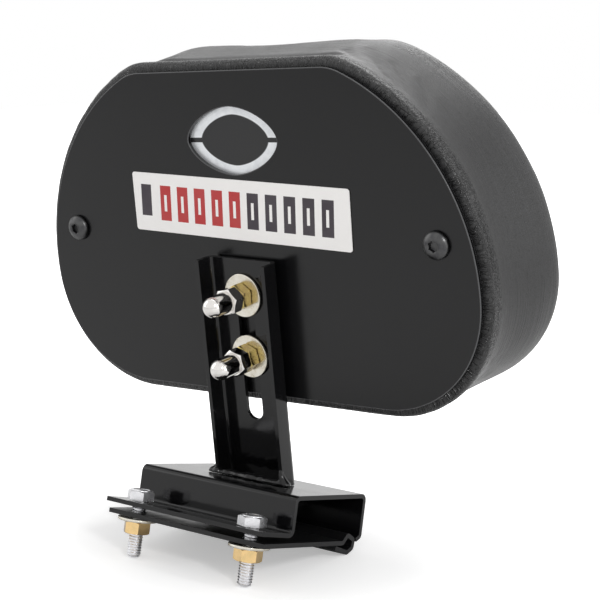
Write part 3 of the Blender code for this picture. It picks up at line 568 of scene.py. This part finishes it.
def bridge(bm, lower, upper):
    """Faces between two rings, either of which may be a single point."""
    count = max(len(lower), len(upper))
    for i in range(count):
        j = (i + 1) % count
        corners = []
        for vert in (lower[i % len(lower)], lower[j % len(lower)],
                     upper[j % len(upper)], upper[i % len(upper)]):
            if vert not in corners:
                corners.append(vert)
        bm.faces.new(corners)


def turned(profile, steps=48, radius_at=None):
    """A solid turned about Z from (radius, height) points; radius_at may reshape a point."""
    bm = bmesh.new()
    rings = []
    for radius, height in profile:
        if radius == 0.0:
            rings.append([bm.verts.new((0, 0, height))])
            continue
        ring = []
        for i in range(steps):
            angle = math.tau * i / steps
            r, z = radius_at(radius, height, angle) if radius_at else (radius, height)
            ring.append(bm.verts.new((r * math.cos(angle), r * math.sin(angle), z)))
        rings.append(ring)
    for lower, upper in zip(rings, rings[1:]):
        bridge(bm, lower, upper)
    return bm


def arc_points(centre, radius, start, end, steps):
    return [(centre[0] + radius * math.cos(start + (end - start) * i / steps),
             centre[1] + radius * math.sin(start + (end - start) * i / steps))
            for i in range(steps + 1)]


def rounded(points, radius):
    """A profile whose inner corners are turned into short arcs."""
    out = [points[0]]
    for before, corner, after in zip(points, points[1:], points[2:]):
        c = Vector(corner)
        a = Vector(before) - c
        b = Vector(after) - c
        reach = min(radius, a.length * ARC_REACH, b.length * ARC_REACH)
        start = c + a.normalized() * reach
        end = c + b.normalized() * reach
        for i in range(ARC_STEPS + 1):
            t = i / ARC_STEPS
            spot = start * (1 - t) ** 2 + c * 2 * t * (1 - t) + end * t * t
            out.append((spot.x, spot.y))
    return out + [points[-1]]


def hexagon_radius(width, angle):
    """Distance from the axis to a hexagon's side, in the direction of angle."""
    sector = (angle + math.pi / 6) % (math.pi / 3) - math.pi / 6
    return width / 2 / math.cos(sector)


def hex_body(width, height, bore=0.0, ends=("bottom", "top")):
    """A hexagon with its corners turned down to a cone at the named ends."""
    face = width / 2 * HEX_FACE
    slope = math.tan(HEX_CHAMFER)

    def shaped(radius, level, angle):
        if radius < width:
            return radius, level
        side = hexagon_radius(width, angle)
        fall = (side - face) * slope
        if level > height / 2:
            return side, height - fall if "top" in ends else height
        return side, fall if "bottom" in ends else 0.0

    profile = [(bore, 0.0), (face, 0.0), (width * 2, 0.0), (width * 2, height), (face, height),
               (bore, height)]
    if bore:
        profile.append((bore, 0.0))
    return turned(profile, HEX_STEPS, shaped)


def washer_body(radius, bore, thickness):
    edge = thickness * 0.35
    profile = rounded([(bore, thickness / 2), (bore, 0.0), (radius - edge * 0.4, 0.0),
                       (radius, edge), (radius, thickness - edge * 0.4),
                       (radius - edge * 0.4, thickness), (bore, thickness), (bore, thickness / 2)],
                      edge * 0.6)
    return turned(profile, 96)


def add_to(bm, *others):
    """Adds other bmeshes' faces to bm and frees them."""
    for other in others:
        mesh = mesh_from(other, "part")
        bm.from_mesh(mesh)
        bpy.data.meshes.remove(mesh)
    return bm


# Threads, made with Geometry Nodes

def thread_tree():
    """A ridge that winds round a shank: a diamond profile along a spiral."""
    group = bpy.data.node_groups.new("thread_ridge", "GeometryNodeTree")
    for label, kind in (("Radius", "Float"), ("Length", "Float"), ("Pitch", "Float"),
                        ("Depth", "Float"), ("Steps per Turn", "Int"), ("Material", "Material")):
        group.interface.new_socket(label, in_out="INPUT", socket_type="NodeSocket" + kind)
    group.interface.new_socket("Mesh", in_out="OUTPUT", socket_type="NodeSocketGeometry")
    tree = Tree(group)
    given = tree.add("NodeGroupInput").outputs
    spiral = tree.add("GeometryNodeCurveSpiral", Resolution=given["Steps per Turn"],
                      Rotations=tree.math("DIVIDE", given["Length"], given["Pitch"]),
                      Start_Radius=given["Radius"], End_Radius=given["Radius"],
                      Height=given["Length"]).outputs["Curve"]
    path = tree.add("GeometryNodeSetCurveNormal", {"mode": "Z_UP"}, Curve=spiral).outputs["Curve"]
    diamond = tree.add("GeometryNodeCurvePrimitiveCircle", Resolution=4,
                       Radius=given["Depth"]).outputs["Curve"]
    ridge = tree.add("GeometryNodeCurveToMesh", Curve=path, Profile_Curve=diamond, Fill_Caps=True)
    real = tree.add("GeometryNodeRealizeInstances", Geometry=ridge.outputs["Mesh"])
    stuff = tree.add("GeometryNodeSetMaterial", Geometry=real.outputs["Geometry"],
                     Material=given["Material"])
    tree.add("NodeGroupOutput", Mesh=stuff.outputs["Geometry"])
    return group


THREAD_TREE = thread_tree()


def thread(radius, length, level):
    """A bmesh with the thread's ridge, from a level up by length."""
    host = new_object("thread", bpy.data.meshes.new("thread"))
    modifier = put(host.modifiers.new("thread", "NODES"), node_group=THREAD_TREE)
    values = {"Radius": radius, "Length": length, "Pitch": THREAD_PITCH, "Depth": THREAD_DEPTH,
              "Steps per Turn": THREAD_STEPS, "Material": ZINC}
    for item in THREAD_TREE.interface.items_tree:
        if item.in_out == "INPUT":
            modifier[item.identifier] = values[item.name]
    result = finished_mesh(host)
    bm = bmesh.new()
    bm.from_mesh(result)
    bmesh.ops.translate(bm, vec=(0, 0, level), verts=bm.verts)
    bpy.data.objects.remove(host, do_unlink=True)
    bpy.data.meshes.remove(result)
    return bm


# Clamp bolts, nuts and washers

def node_points(node, place):
    """The corners of a CAD node, in the frame of place."""
    back = place.inverted()
    return [back @ vert.co for vert in frame["nodes"][node].data.vertices]


def bolt_span(node):
    """Lowest and highest level of a node in the clamp's frame."""
    levels = [point.z for point in node_points(node, CLAMP)]
    return min(levels), max(levels)


def bolt_place(side, level, turn=0):
    return (CLAMP @ shift(side * BOLT_OUT, -BOLT_BACK, level)
            @ turn_about("Z", math.radians(side * (BOLT_TURN + turn))))


def clamp_bolt(side, word):
    """Hexagon head with a turned face, shank, and thread down to a chamfered point."""
    low, high = bolt_span("clamp_bolt_" + word)
    length = high - HEAD_HEIGHT - low
    core = SHANK - THREAD_DEPTH
    rim = turned([(HEX * share, HEAD_HEIGHT + rise) for share, rise in BOLT_RIM])
    shank = turned([(0.0, -length), (core - BOLT_POINT, -length), (core, BOLT_POINT - length),
                    (core, 0.0), (0.0, 0.0)])
    bm = add_to(hex_body(HEX, HEAD_HEIGHT, ends=("top",)), rim, shank,
                thread(core, length - BOLT_POINT * 1.5, BOLT_POINT - length))
    piece("clamp_bolt_" + word, bm, bolt_place(side, high - HEAD_HEIGHT), "frame", ZINC, "zinc", 30)


def clamp_hardware():
    for side, word in SIDES:
        clamp_bolt(side, word)
        low, high = bolt_span("clamp_washer_" + word)
        piece("clamp_washer_" + word, washer_body(CLAMP_WASHER_RADIUS, WASHER_BORE, high - low),
              bolt_place(side, low), "jaw", WASHER_ZINC, "yellow_zinc")
        low, high = bolt_span("clamp_nut_" + word)
        piece("clamp_nut_" + word, hex_body(HEX, high - low, NUT_BORE),
              bolt_place(side, low, CLAMP_NUT_TURN), "jaw", YELLOW_ZINC, "yellow_zinc", 24)


# Slot nuts, cap nuts and washers, along the pad's rearward axis

def slot_hardware():
    washer_at = SPACER_THICKNESS + SEAT * 3 + SHEET
    nut_at = washer_at + WASHER_THICKNESS + SEAT
    cap_at = nut_at + NUT_HEIGHT + SEAT
    for height, word, turn in ((LOWER_BOLT + BOLT_SPACING, "upper", 5), (LOWER_BOLT, "lower", -10)):
        axis = PAD @ shift(0, 0, height) @ REARWARD

        def along(distance, degrees=0):
            return axis @ shift(0, 0, distance) @ turn_about("Z", math.radians(degrees))

        piece("slot_washer_" + word, washer_body(WASHER_RADIUS, WASHER_BORE, WASHER_THICKNESS),
              along(washer_at), "pad", WASHER_ZINC, "yellow_zinc")
        piece("slot_nut_" + word, hex_body(HEX, NUT_HEIGHT, NUT_BORE), along(nut_at, -turn), "pad",
              JAM_ZINC, "yellow_zinc", 24)
        piece("cap_nut_" + word, cap_nut_body(), along(cap_at, -turn * 2 - CAP_NUT_TURN), "pad",
              CHROME, "chrome", 24)


def cap_nut_body():
    """Hexagon, a short groove, collar and ball end, closed over the bolt."""
    foot = CAP_HEX_HEIGHT - CAP_OVERLAP
    dome = arc_points((0.0, CAP_LENGTH - CAP_COLLAR), CAP_COLLAR, 0.0, math.pi / 2, 12)[:-1]
    collar = turned([(0.0, foot), (CAP_COLLAR, foot), *dome, (0.0, CAP_LENGTH)], 64)
    return add_to(hex_body(HEX, CAP_HEX_HEIGHT, NUT_BORE), collar)


def button_screws():
    """Low domed heads with a hexagon socket."""
    rim = BUTTON_DOME * 0.2
    dome = [(BUTTON_RADIUS * x, rim + BUTTON_DOME * 0.8 * z)
            for x, z in arc_points((0.0, 0.0), 1.0, 0.0, math.radians(66), 10)]
    top = dome[-1][1]
    mouth = SOCKET_WIDTH * 0.56
    half = SOCKET_WIDTH / 2
    bottom = top - SOCKET_DEPTH
    profile = [(0.0, 0.0002), (BUTTON_RADIUS - 0.0003, 0.0), (BUTTON_RADIUS, 0.0003), *dome,
               (mouth + 0.0006, top + 0.0001), (mouth + 0.0002, top - 0.0002),
               (half, top - 0.0006), (half, bottom), (0.0, bottom - 0.0006)]

    def shaped(radius, level, angle):
        if radius > SOCKET_WIDTH * 0.55:
            return radius, level
        return hexagon_radius(SOCKET_WIDTH, angle), level

    for side, word in SIDES:
        shank = turned([(0.0, -BUTTON_SHANK), (SHANK - 0.0006, -BUTTON_SHANK),
                        (SHANK, 0.0006 - BUTTON_SHANK), (SHANK, 0.0), (0.0, 0.0001)])
        piece("button_screw_" + word, add_to(turned(profile, 72, shaped), shank),
              PAD @ shift(side * BUTTON_OUT, -SEAT, BUTTON_HEIGHT) @ REARWARD, "pad", BLACK_OXIDE,
              "black_oxide", 28)


# Back plate, emblem window and label

def plate_half(steps):
    """The right half of the plate's outline, from the bottom's end to the top's end."""
    rise = PLATE_HEIGHT - TOP_RADIUS - WIDEST
    across = math.sqrt((SIDE_RADIUS - TOP_RADIUS) ** 2 - rise ** 2)
    meet = math.atan2(rise, across)
    lower = arc_points((PLATE_HALF_WIDTH - LOWER_RADIUS, LOWER_RADIUS), LOWER_RADIUS,
                       -math.pi / 2, 0.0, steps)
    side = arc_points((PLATE_HALF_WIDTH - SIDE_RADIUS, WIDEST), SIDE_RADIUS, 0.0, meet, steps)
    top = arc_points((PLATE_HALF_WIDTH - SIDE_RADIUS + across, PLATE_HEIGHT - TOP_RADIUS),
                     TOP_RADIUS, meet, math.pi / 2, steps // 2)
    return lower + side + top[1:]


def plate_outline(steps=48):
    right = plate_half(steps)
    return right + [(-x, z) for x, z in right[::-1]]


def even_outline(count):
    """The plate's outline at even spacing, as points with outward directions."""
    loop = [Vector(p) for p in plate_outline(90)]
    loop.append(loop[0])
    lengths = [0.0]
    for a, b in zip(loop, loop[1:]):
        lengths.append(lengths[-1] + (b - a).length)
    total = lengths[-1]
    points = []
    k = 0
    for i in range(count):
        target = total * i / count
        while lengths[k + 1] < target:
            k += 1
        share = (target - lengths[k]) / max(lengths[k + 1] - lengths[k], 1e-9)
        points.append(loop[k].lerp(loop[k + 1], share))
    ways = []
    for i in range(count):
        along = (points[(i + 2) % count] - points[i - 2]).normalized()
        ways.append(Vector((along.y, -along.x)))
    return list(zip(points, ways)), total


def prism(outline, low, high):
    """A flat piece in the pad's frame: the outline lies across and up, its levels are depths."""
    bm = bmesh.new()
    lower = [bm.verts.new((x, low, z)) for x, z in outline]
    upper = [bm.verts.new((x, high, z)) for x, z in outline]
    bm.faces.new(lower)
    bm.faces.new(upper[::-1])
    for i in range(len(outline)):
        j = (i + 1) % len(outline)
        bm.faces.new((lower[i], lower[j], upper[j], upper[i]))
    return bm


def window_outline():
    """A slightly pointed oval."""
    points = []
    for i in range(WINDOW_STEPS):
        angle = math.tau * i / WINDOW_STEPS
        x, z = [math.copysign(abs(way) ** (1 / WINDOW_POWER), way)
                for way in (math.cos(angle), math.sin(angle))]
        points.append((WINDOW_WIDTH / 2 * x, WINDOW_HEIGHT + WINDOW_TALL / 2 * z))
    return points


def cut(made, tools):
    """Cuts each tool mesh out of a piece with an exact Boolean."""
    for bm in tools:
        bmesh.ops.recalc_face_normals(bm, faces=bm.faces)
        tool = new_object("tool", mesh_from(bm, "tool"))
        tool.data.transform(PAD)
        put(made.modifiers.new("cut", "BOOLEAN"), operation="DIFFERENCE", object=tool)
        apply_modifiers(made)
        bpy.data.objects.remove(tool, do_unlink=True)


def back_plate():
    made = piece("back_plate", prism(plate_outline(), 0.0, PLATE_THICKNESS), PAD, "pad", SATIN_BLACK,
                 "plate_paint")
    last = HOLE_STEPS - 1
    outlines = [arc_points(centre, HOLE_RADIUS, 0, math.tau * last / HOLE_STEPS, last)
                for centre in ((0.0, LOWER_BOLT), (0.0, LOWER_BOLT + BOLT_SPACING),
                               (-BUTTON_OUT, BUTTON_HEIGHT), (BUTTON_OUT, BUTTON_HEIGHT))]
    cut(made, [prism(outline, *CUT_LEVELS) for outline in outlines + [window_outline()]])
    smooth(made.data, 180)
    # The bevels take the lighter grey: a painted highlight along the plate's edges
    bevelled(made, PLATE_EDGE, 3, 50, EDGE_HIGHLIGHT_PAINT)


def map_film(bm, name, start, width, height):
    """Gives a film its own map: how far each corner is from start, in widths and heights."""
    layer = bm.loops.layers.uv.new(name)
    for face in bm.faces:
        for corner in face.loops:
            spot = corner.vert.co
            corner[layer].uv = ((spot.x - start[0]) / width, (spot.z - start[1]) / height)


def emblem_backing():
    """The film behind the window, mapped from the window's middle to its edges."""
    depths = [point.y for point in node_points("emblem_backing", PAD)]
    half = WINDOW_WIDTH / 2 + BACKING_MARGIN
    tall = WINDOW_TALL / 2 + BACKING_MARGIN
    corners = [(-half, -tall), (half, -tall), (half, tall), (-half, tall)]
    bm = prism([(x, WINDOW_HEIGHT + z) for x, z in corners], min(depths), max(depths))
    map_film(bm, "film", (0, WINDOW_HEIGHT), WINDOW_WIDTH / 2, WINDOW_TALL / 2)
    piece("emblem_backing", bm, PAD, "pad", SILVER_FILM, "silver_sheet")


def label():
    """A thin film with rounded corners, mapped from its lower left corner."""
    half = LABEL_LENGTH / 2
    tall = LABEL_TALL / 2
    outline = []
    for i, (x, z) in enumerate(((1, 1), (-1, 1), (-1, -1), (1, -1))):
        outline += arc_points((x * (half - LABEL_CORNER), z * (tall - LABEL_CORNER)), LABEL_CORNER,
                              math.pi / 2 * i, math.pi / 2 * (i + 1), 6)
    bm = prism(outline, -SEAT - LABEL_THICKNESS, -SEAT)
    map_film(bm, "print", (-half, -tall), LABEL_LENGTH, LABEL_TALL)
    piece("label", bm, PAD @ shift(LABEL_SHIFT, 0, LABEL_HEIGHT) @ turn_about("Y", LABEL_TURN), "pad",
          LABEL_PRINT, "label_film")


# Cushion

SIM_COLUMNS = 190
COLUMN_SPLIT = 4
RING_SPLIT = 2
INNER_RINGS = 3
FRONT_RINGS = 14
GATHER_SPACING = 0.0105
GATHER_REACH = 0.016
GATHER_DEPTH = 0.0004
SLOW_WAVES = (34.0, 0.0006)
QUICK_WAVES = (150.0, 0.00025)
SWELL_MOST = 0.0012
SWELL_FRAMES = 20


def flare(way):
    side = way.x ** 2 * FLARE_SIDE
    return side + way.y ** 2 * (FLARE_TOP if way.y > 0 else FLARE_BOTTOM)


def eased(t):
    return t * t * (3 - 2 * t)


def cushion_section(way):
    """Outer section from the flap's edge, round the shoulder, up the side and over the front rim."""
    far = flare(way)
    near = NEAR_OVERHANG
    edge = EDGE_RADIUS
    start = COVER_BACK + edge
    section = [(-FLAP, COVER_BACK), (-FLAP * 0.5, COVER_BACK), (0.0, COVER_BACK)]
    section += arc_points((near - edge, start), edge, -math.pi / 2, 0.0, 4)
    section += [(near + (WAIST_OVERHANG - near) * eased(t), start + (WAIST_DEPTH - start) * t)
                for t in [i / 6 for i in range(1, 6)]]
    section += [(WAIST_OVERHANG + (far - WAIST_OVERHANG) * eased(t),
                 WAIST_DEPTH + (FLARE_DEPTH - WAIST_DEPTH) * t) for t in [i / 14 for i in range(15)]]
    rise = RIM_DEPTH - FLARE_DEPTH
    section += [(far - FRONT_ROUNDING * (1 - math.cos(a)), FLARE_DEPTH + rise * math.sin(a))
                for a in [math.radians(84) * i / 5 for i in range(1, 6)]]
    return section


def cushion_rings(outline):
    """Rings of the whole cover: the board's recess, the turned-in flap, then the outer skin."""
    columns = []
    for point, way in outline:
        section = [(BOARD_RECESS_OVERHANG, BOARD_RECESS_DEPTH),
                   (BOARD_RECESS_OVERHANG, COVER_BACK + FLAP_THICKNESS),
                   (-FLAP, COVER_BACK + FLAP_THICKNESS)]
        section += cushion_section(way)
        columns.append([(point.x + way.x * a, b, point.y + way.y * a) for a, b in section])
    rings = numpy.array(columns).transpose(1, 0, 2)
    rim = rings[-1]
    centre = rim.mean(axis=0)
    more = []
    for k in range(1, FRONT_RINGS):
        share = 1.0 - k / FRONT_RINGS
        ring = centre + (rim - centre) * share
        ring[:, 1] = rim[:, 1] * share + centre[1] * (1 - share) + CROWN * (1 - share ** 2)
        more.append(ring)
    return numpy.concatenate([rings, more]), centre + (0.0, CROWN, 0.0)


def grid_mesh(name, rings, centre, total=0.0):
    """A closed mesh over stacked rings, capped flat on the first and by a point on the last.

    With a total, it gets a map of the way round the rim and the depth, in metres.
    """
    count = rings.shape[1]
    points = rings.reshape(-1, 3).tolist() + [centre]
    faces = [list(range(count))[::-1]]
    for r in range(len(rings) - 1):
        for i in range(count):
            j = (i + 1) % count
            faces.append((r * count + i, r * count + j, (r + 1) * count + j, (r + 1) * count + i))
    last = (len(rings) - 1) * count
    faces += [(last + i, last + (i + 1) % count, len(points) - 1) for i in range(count)]
    mesh = bpy.data.meshes.new(name)
    mesh.from_pydata(points, [], faces)
    mesh.validate()
    if total:
        layer = mesh.uv_layers.new(name="cover").data
        for face in mesh.polygons:
            corners = [mesh.loops[i].vertex_index for i in face.loop_indices]
            columns = [v % count for v in corners]
            wraps = 0 in columns and count - 1 in columns
            for i, v, column in zip(face.loop_indices, corners, columns):
                along = count if wraps and column == 0 else column
                layer[i].uv = (total * along / count, points[v][1])
    bm = bmesh.new()
    bm.from_mesh(mesh)
    bmesh.ops.recalc_face_normals(bm, faces=bm.faces)
    bm.to_mesh(mesh)
    bm.free()
    return mesh


def swell(rings, centre):
    """Lets the cover puff out over its foam as cloth under pressure, by at most SWELL_MOST."""
    mesh = grid_mesh("cover_cloth", rings, centre)
    cloth = new_object("cover_cloth", mesh)
    rest = numpy.array([vert.co for vert in mesh.vertices])
    group = cloth.vertex_groups.new(name="held")
    group.add([i for i, point in enumerate(rest) if point[1] < WAIST_DEPTH], 1.0, "REPLACE")
    modifier = cloth.modifiers.new("cover", "CLOTH")
    put(modifier.settings, quality=5, mass=0.3, tension_stiffness=30, compression_stiffness=30,
        shear_stiffness=10, bending_stiffness=2, vertex_group_mass=group.name, use_pressure=True,
        uniform_pressure_force=4)
    modifier.settings.effector_weights.gravity = 0
    put(modifier.point_cache, frame_start=1, frame_end=SWELL_FRAMES)
    scene = bpy.context.scene
    for step in range(SWELL_FRAMES):
        scene.frame_set(step + 1)
    evaluated = cloth.evaluated_get(bpy.context.evaluated_depsgraph_get())
    moved = numpy.array([vert.co for vert in evaluated.data.vertices]) - rest
    scene.frame_set(1)
    bpy.data.objects.remove(cloth, do_unlink=True)
    reach = numpy.linalg.norm(moved, axis=1, keepdims=True)
    puffed = rest + moved * numpy.minimum(1.0, SWELL_MOST / numpy.maximum(reach, 1e-9))
    return puffed[:-1].reshape(rings.shape), puffed[-1]


def split_rows(rows, parts, closed):
    """Puts smooth in-between rows (Catmull-Rom) between neighbouring rows."""
    count = len(rows)
    out = []
    for i in range(count if closed else count - 1):
        a, b, c, d = [rows[k % count if closed else min(max(k, 0), count - 1)]
                      for k in range(i - 1, i + 3)]
        for t in [k / parts for k in range(parts)]:
            out.append(0.5 * (2 * b + (c - a) * t + (2 * a - 5 * b + 4 * c - d) * t ** 2
                              + (3 * b - a - 3 * c + d) * t ** 3))
    if not closed:
        out.append(rows[-1])
    return numpy.array(out)


def gathers(total):
    """Where the cover's gathers lie round the rim, and how deep, wide, slanted and long each is."""
    pick = random.Random(11)
    found = []
    place = 0.0
    while place < total:
        found.append((place, pick.uniform(0.35, 1.0), pick.uniform(0.0016, 0.0034),
                      pick.uniform(-0.25, 0.25), pick.uniform(0.008, GATHER_REACH)))
        place += GATHER_SPACING * pick.uniform(0.6, 1.35)
    return found


def gather_depth(found, places, depths, total):
    """How far the gathers are pressed in, for grids of places round the rim and depths."""
    sunk = numpy.zeros(places.shape)
    from_back = numpy.maximum(depths - COVER_BACK, 0.0)
    for centre, strength, width, drift, reach in found:
        away = (places - centre - drift * from_back + total / 2) % total - total / 2
        spread = width * (1 + 0.9 * from_back / reach)
        fade = numpy.clip(1.0 - from_back / reach, 0.0, 1.0) ** 1.5
        sunk += strength * fade * numpy.exp(-(away / spread) ** 2)
    return sunk


def grid_normals(rings):
    along = numpy.roll(rings, -1, axis=1) - numpy.roll(rings, 1, axis=1)
    across = numpy.gradient(rings, axis=0)
    normals = numpy.cross(across, along)
    normals /= numpy.maximum(numpy.linalg.norm(normals, axis=2, keepdims=True), 1e-12)
    middle = len(rings) // 3
    outward = rings[middle] - rings[middle].mean(axis=0)
    return normals if (normals[middle] * outward).sum() >= 0 else -normals


def waves(rings, scale, height):
    """Slow or quick unevenness, from noise at each point."""
    return numpy.array([[noise(Vector(p) * scale) for p in ring] for ring in rings]) * height


def wrinkled(rings, total):
    """Presses the gathers and some slow unevenness into the cover's shoulder and side."""
    count = rings.shape[1]
    depths = rings[:, :, 1]
    places = numpy.broadcast_to(total * numpy.arange(count) / count, depths.shape)
    normals = grid_normals(rings)
    sides = numpy.abs(normals[len(rings) // 3, :, 0])
    share = 0.16 + 0.84 * numpy.minimum(1.0, sides * 1.25)
    near = numpy.clip(1.0 - (depths - COVER_BACK) / GATHER_REACH, 0.0, 1.0)
    sunk = GATHER_DEPTH * share * gather_depth(gathers(total), places, depths, total)
    side = numpy.clip((FLARE_DEPTH + 0.006 - depths) / 0.01, 0.0, 1.0)
    loose = numpy.clip((depths - COVER_BACK - 0.0006) / 0.001, 0.0, 1.0)
    height = waves(rings, *SLOW_WAVES) * (1 - near) + waves(rings, *QUICK_WAVES) * near * share - sunk
    return rings + normals * (height * side * loose)[:, :, None]


def cushion():
    outline, total = even_outline(SIM_COLUMNS)
    rings, centre = cushion_rings(outline)
    rings, centre = swell(rings, centre)
    rings = split_rows(rings.transpose(1, 0, 2), COLUMN_SPLIT, True).transpose(1, 0, 2)
    outer = wrinkled(split_rows(rings[INNER_RINGS:], RING_SPLIT, False), total)
    rings = numpy.concatenate([rings[:INNER_RINGS], outer])
    mesh = grid_mesh("cushion", rings, centre, total)
    mesh.transform(PAD)
    mesh.materials.append(LEATHERETTE)
    smooth(mesh, 70)
    made = new_object("cushion", mesh)
    seat(made, "pad", "leatherette", "pad_cover", "foam_core")


# CAD nodes that stay, with their own finishes

def finish_nodes():
    for node in ("pad_board", "slot_bolt_upper", "slot_bolt_lower", "slot_spacer_upper",
                 "slot_spacer_lower", "tee_nut_left", "tee_nut_right"):
        mesh = frame["nodes"][node].data
        mesh.materials.clear()
        mesh.materials.append(PLYWOOD if node == "pad_board" else ZINC)


# Folded sheet and the weld on it

WELD_PAST_FLANGE = 0.0040
WELD_TO_EDGE = 0.0013
WELD_LEVEL = 0.0006
HORN_DROPS = 9
HORN_START = 0.0030
HORN_END = 0.0013
HORNS = ((-1, 0.0010, 0.0034), (1, 0.0026, 0.0072))


def metalwork():
    dressed_copy("clamp_channel", "frame", GLOSS_BLACK, 0.00045)
    dressed_copy("upright_channel", "frame", GLOSS_BLACK, 0.0004)
    dressed_copy("clamp_plate", "jaw", JAW_BLACK, 0.00045)


def weld_drops():
    """Centres and radii of the drops of metal that run into one bead, in the clamp's frame.

    A row of them lies between the flanges, and a horn climbs each flange along the upright's lean.
    """
    pick = random.Random(5)
    box = node_points("foot_weld", CLAMP)
    edge = max(p.y for p in box) + WELD_TO_EDGE
    flange = max(p.x for p in box) - WELD_PAST_FLANGE
    lean = math.tan(UPRIGHT_LEAN)
    drops = []
    x = -flange
    while x < flange:
        size = pick.uniform(0.0022, 0.0033)
        drops.append((Vector((x, edge - size * pick.uniform(0.7, 1.1), WELD_LEVEL)), size))
        x += size * pick.uniform(0.7, 1.2)
    for side, out, tall in HORNS:
        for share in [k / (HORN_DROPS - 1) for k in range(HORN_DROPS)]:
            size = HORN_START + (HORN_END - HORN_START) * share
            rise = SEAT + tall * share
            past = out * (1 - share) ** 2 - 0.0008
            drops.append((Vector((side * (flange + past), edge - rise * lean - size * 0.35, rise)), size))
    return drops


def foot_weld():
    """The weld's bead: drops melted into one lumpy fillet under the same gloss paint."""
    bm = bmesh.new()
    for centre, size in weld_drops():
        bmesh.ops.create_icosphere(bm, subdivisions=3, radius=size, matrix=Matrix.Translation(centre))
    for vert in bm.verts:
        vert.co.z = max(vert.co.z, SEAT)
    mesh = mesh_from(bm, "foot_weld_finish")
    mesh.transform(CLAMP)
    mesh.materials.append(GLOSS_BLACK)
    made = new_object("foot_weld_finish", mesh)
    put(made.modifiers.new("melt", "REMESH"), mode="VOXEL", voxel_size=0.0004)
    put(made.modifiers.new("calm", "SMOOTH"), factor=0.5, iterations=4)
    apply_modifiers(made)
    made.data.shade_smooth()
    seat(made, "frame", "black_paint", "foot_weld")


# Studio and camera

WHITE = (1.0, 1.0, 1.0)
WORLD_LEVEL = 0.52
FLOOR_SHADE_GREY = (0.90, 0.90, 0.90)
FLOOR_NEAR = 0.08
FLOOR_FAR = 0.26
FLOOR_GLOW = (0.39, 1.19)
LAMPS = (("above", (0.0, 0.5, 1.6), 0.15, (1.2, 0.8), 8),
         ("behind", (-0.5, 1.5, 1.0), 0.2, (0.9, 0.4), 2.5),
         ("right", (1.7, 0.2, 0.5), 0.16, (1.0, 1.4), 6),
         ("sparkle", (1.3, -0.8, 1.0), 0.18, (0.25, 0.25), 7),
         ("left", (-1.4, -0.6, 0.8), 0.12, (0.8, 1.2), 2.5))


def studio_world():
    """White for the camera and in reflections, and a dimmer light for everything else."""
    world = bpy.data.worlds.new("studio")
    bpy.context.scene.world = world
    world.use_nodes = True
    tree = Tree(world.node_tree)
    rays = tree.add("ShaderNodeLightPath").outputs
    seen = tree.math("MAXIMUM", rays["Is Camera Ray"], rays["Is Transmission Ray"])
    seen = tree.math("MAXIMUM", seen, rays["Is Glossy Ray"])
    tree.wire(world.node_tree.nodes["Background"], Color=WHITE,
              Strength=tree.plus(tree.times(seen, 1.0 - WORLD_LEVEL), WORLD_LEVEL))


def floor():
    """A white floor that takes the lamps' shadow near the part, where it is also painted grey and glows
    less (painted shade), and glows plain white away from it.
    """
    bm = bmesh.new()
    bmesh.ops.create_grid(bm, x_segments=1, y_segments=1, size=4.0)
    mesh = mesh_from(bm, "floor")
    ground = new_object("floor", mesh)
    made, tree, shader = finish("floor_white", Roughness=0.9, Specular_IOR_Level=0.1,
                                Emission_Color=WHITE)
    away = tree.add("ShaderNodeVectorMath", {"operation": "LENGTH"})
    tree.feed(away.inputs[0], tree.here())
    far = tree.ramp(away.outputs["Value"], FLOOR_NEAR, FLOOR_FAR)
    low, high = FLOOR_GLOW
    glow = tree.plus(tree.times(far, high - low), low)
    rays = tree.add("ShaderNodeLightPath").outputs
    # Greyer and less glowing near the part: painted shade round the part, on top of its real shadow
    tree.wire(shader, Base_Color=tree.mix(far, FLOOR_SHADE_GREY, WHITE),
              Emission_Strength=tree.times(rays["Is Camera Ray"], glow))
    mesh.materials.append(made)


def lamp(name, place, aim, size, power):
    """A rectangular lamp turned to a height on the part's axis."""
    data = put(bpy.data.lights.new(name, "AREA"), shape="RECTANGLE", size=size[0], size_y=size[1],
               energy=power)
    turn = (Vector((0, 0, aim)) - Vector(place)).to_track_quat("-Z", "Y").to_euler()
    put(new_object(name, data), location=place, rotation_euler=turn)


def camera():
    """The photograph's viewpoint, held to the clamp as it stands here."""
    data = put(bpy.data.cameras.new("camera"), lens=CAMERA_LENS, sensor_width=36.0, clip_start=0.05,
               clip_end=20.0)
    made = new_object("camera", data)
    look = turn_about("Z", CAMERA_AZIMUTH) @ turn_about("X", math.pi / 2 - CAMERA_ELEVATION)
    base = CLAMP @ turn_about("X", CLAMP_LEAN_SEEN)
    made.matrix_world = base @ Matrix.Translation(CAMERA_PLACE) @ look
    bpy.context.scene.camera = made


def studio():
    bpy.context.scene.view_settings.view_transform = "Standard"
    studio_world()
    floor()
    for settings in LAMPS:
        lamp(*settings)


camera()
metalwork()
foot_weld()
back_plate()
emblem_backing()
label()
clamp_hardware()
slot_hardware()
button_screws()
cushion()
finish_nodes()
studio()
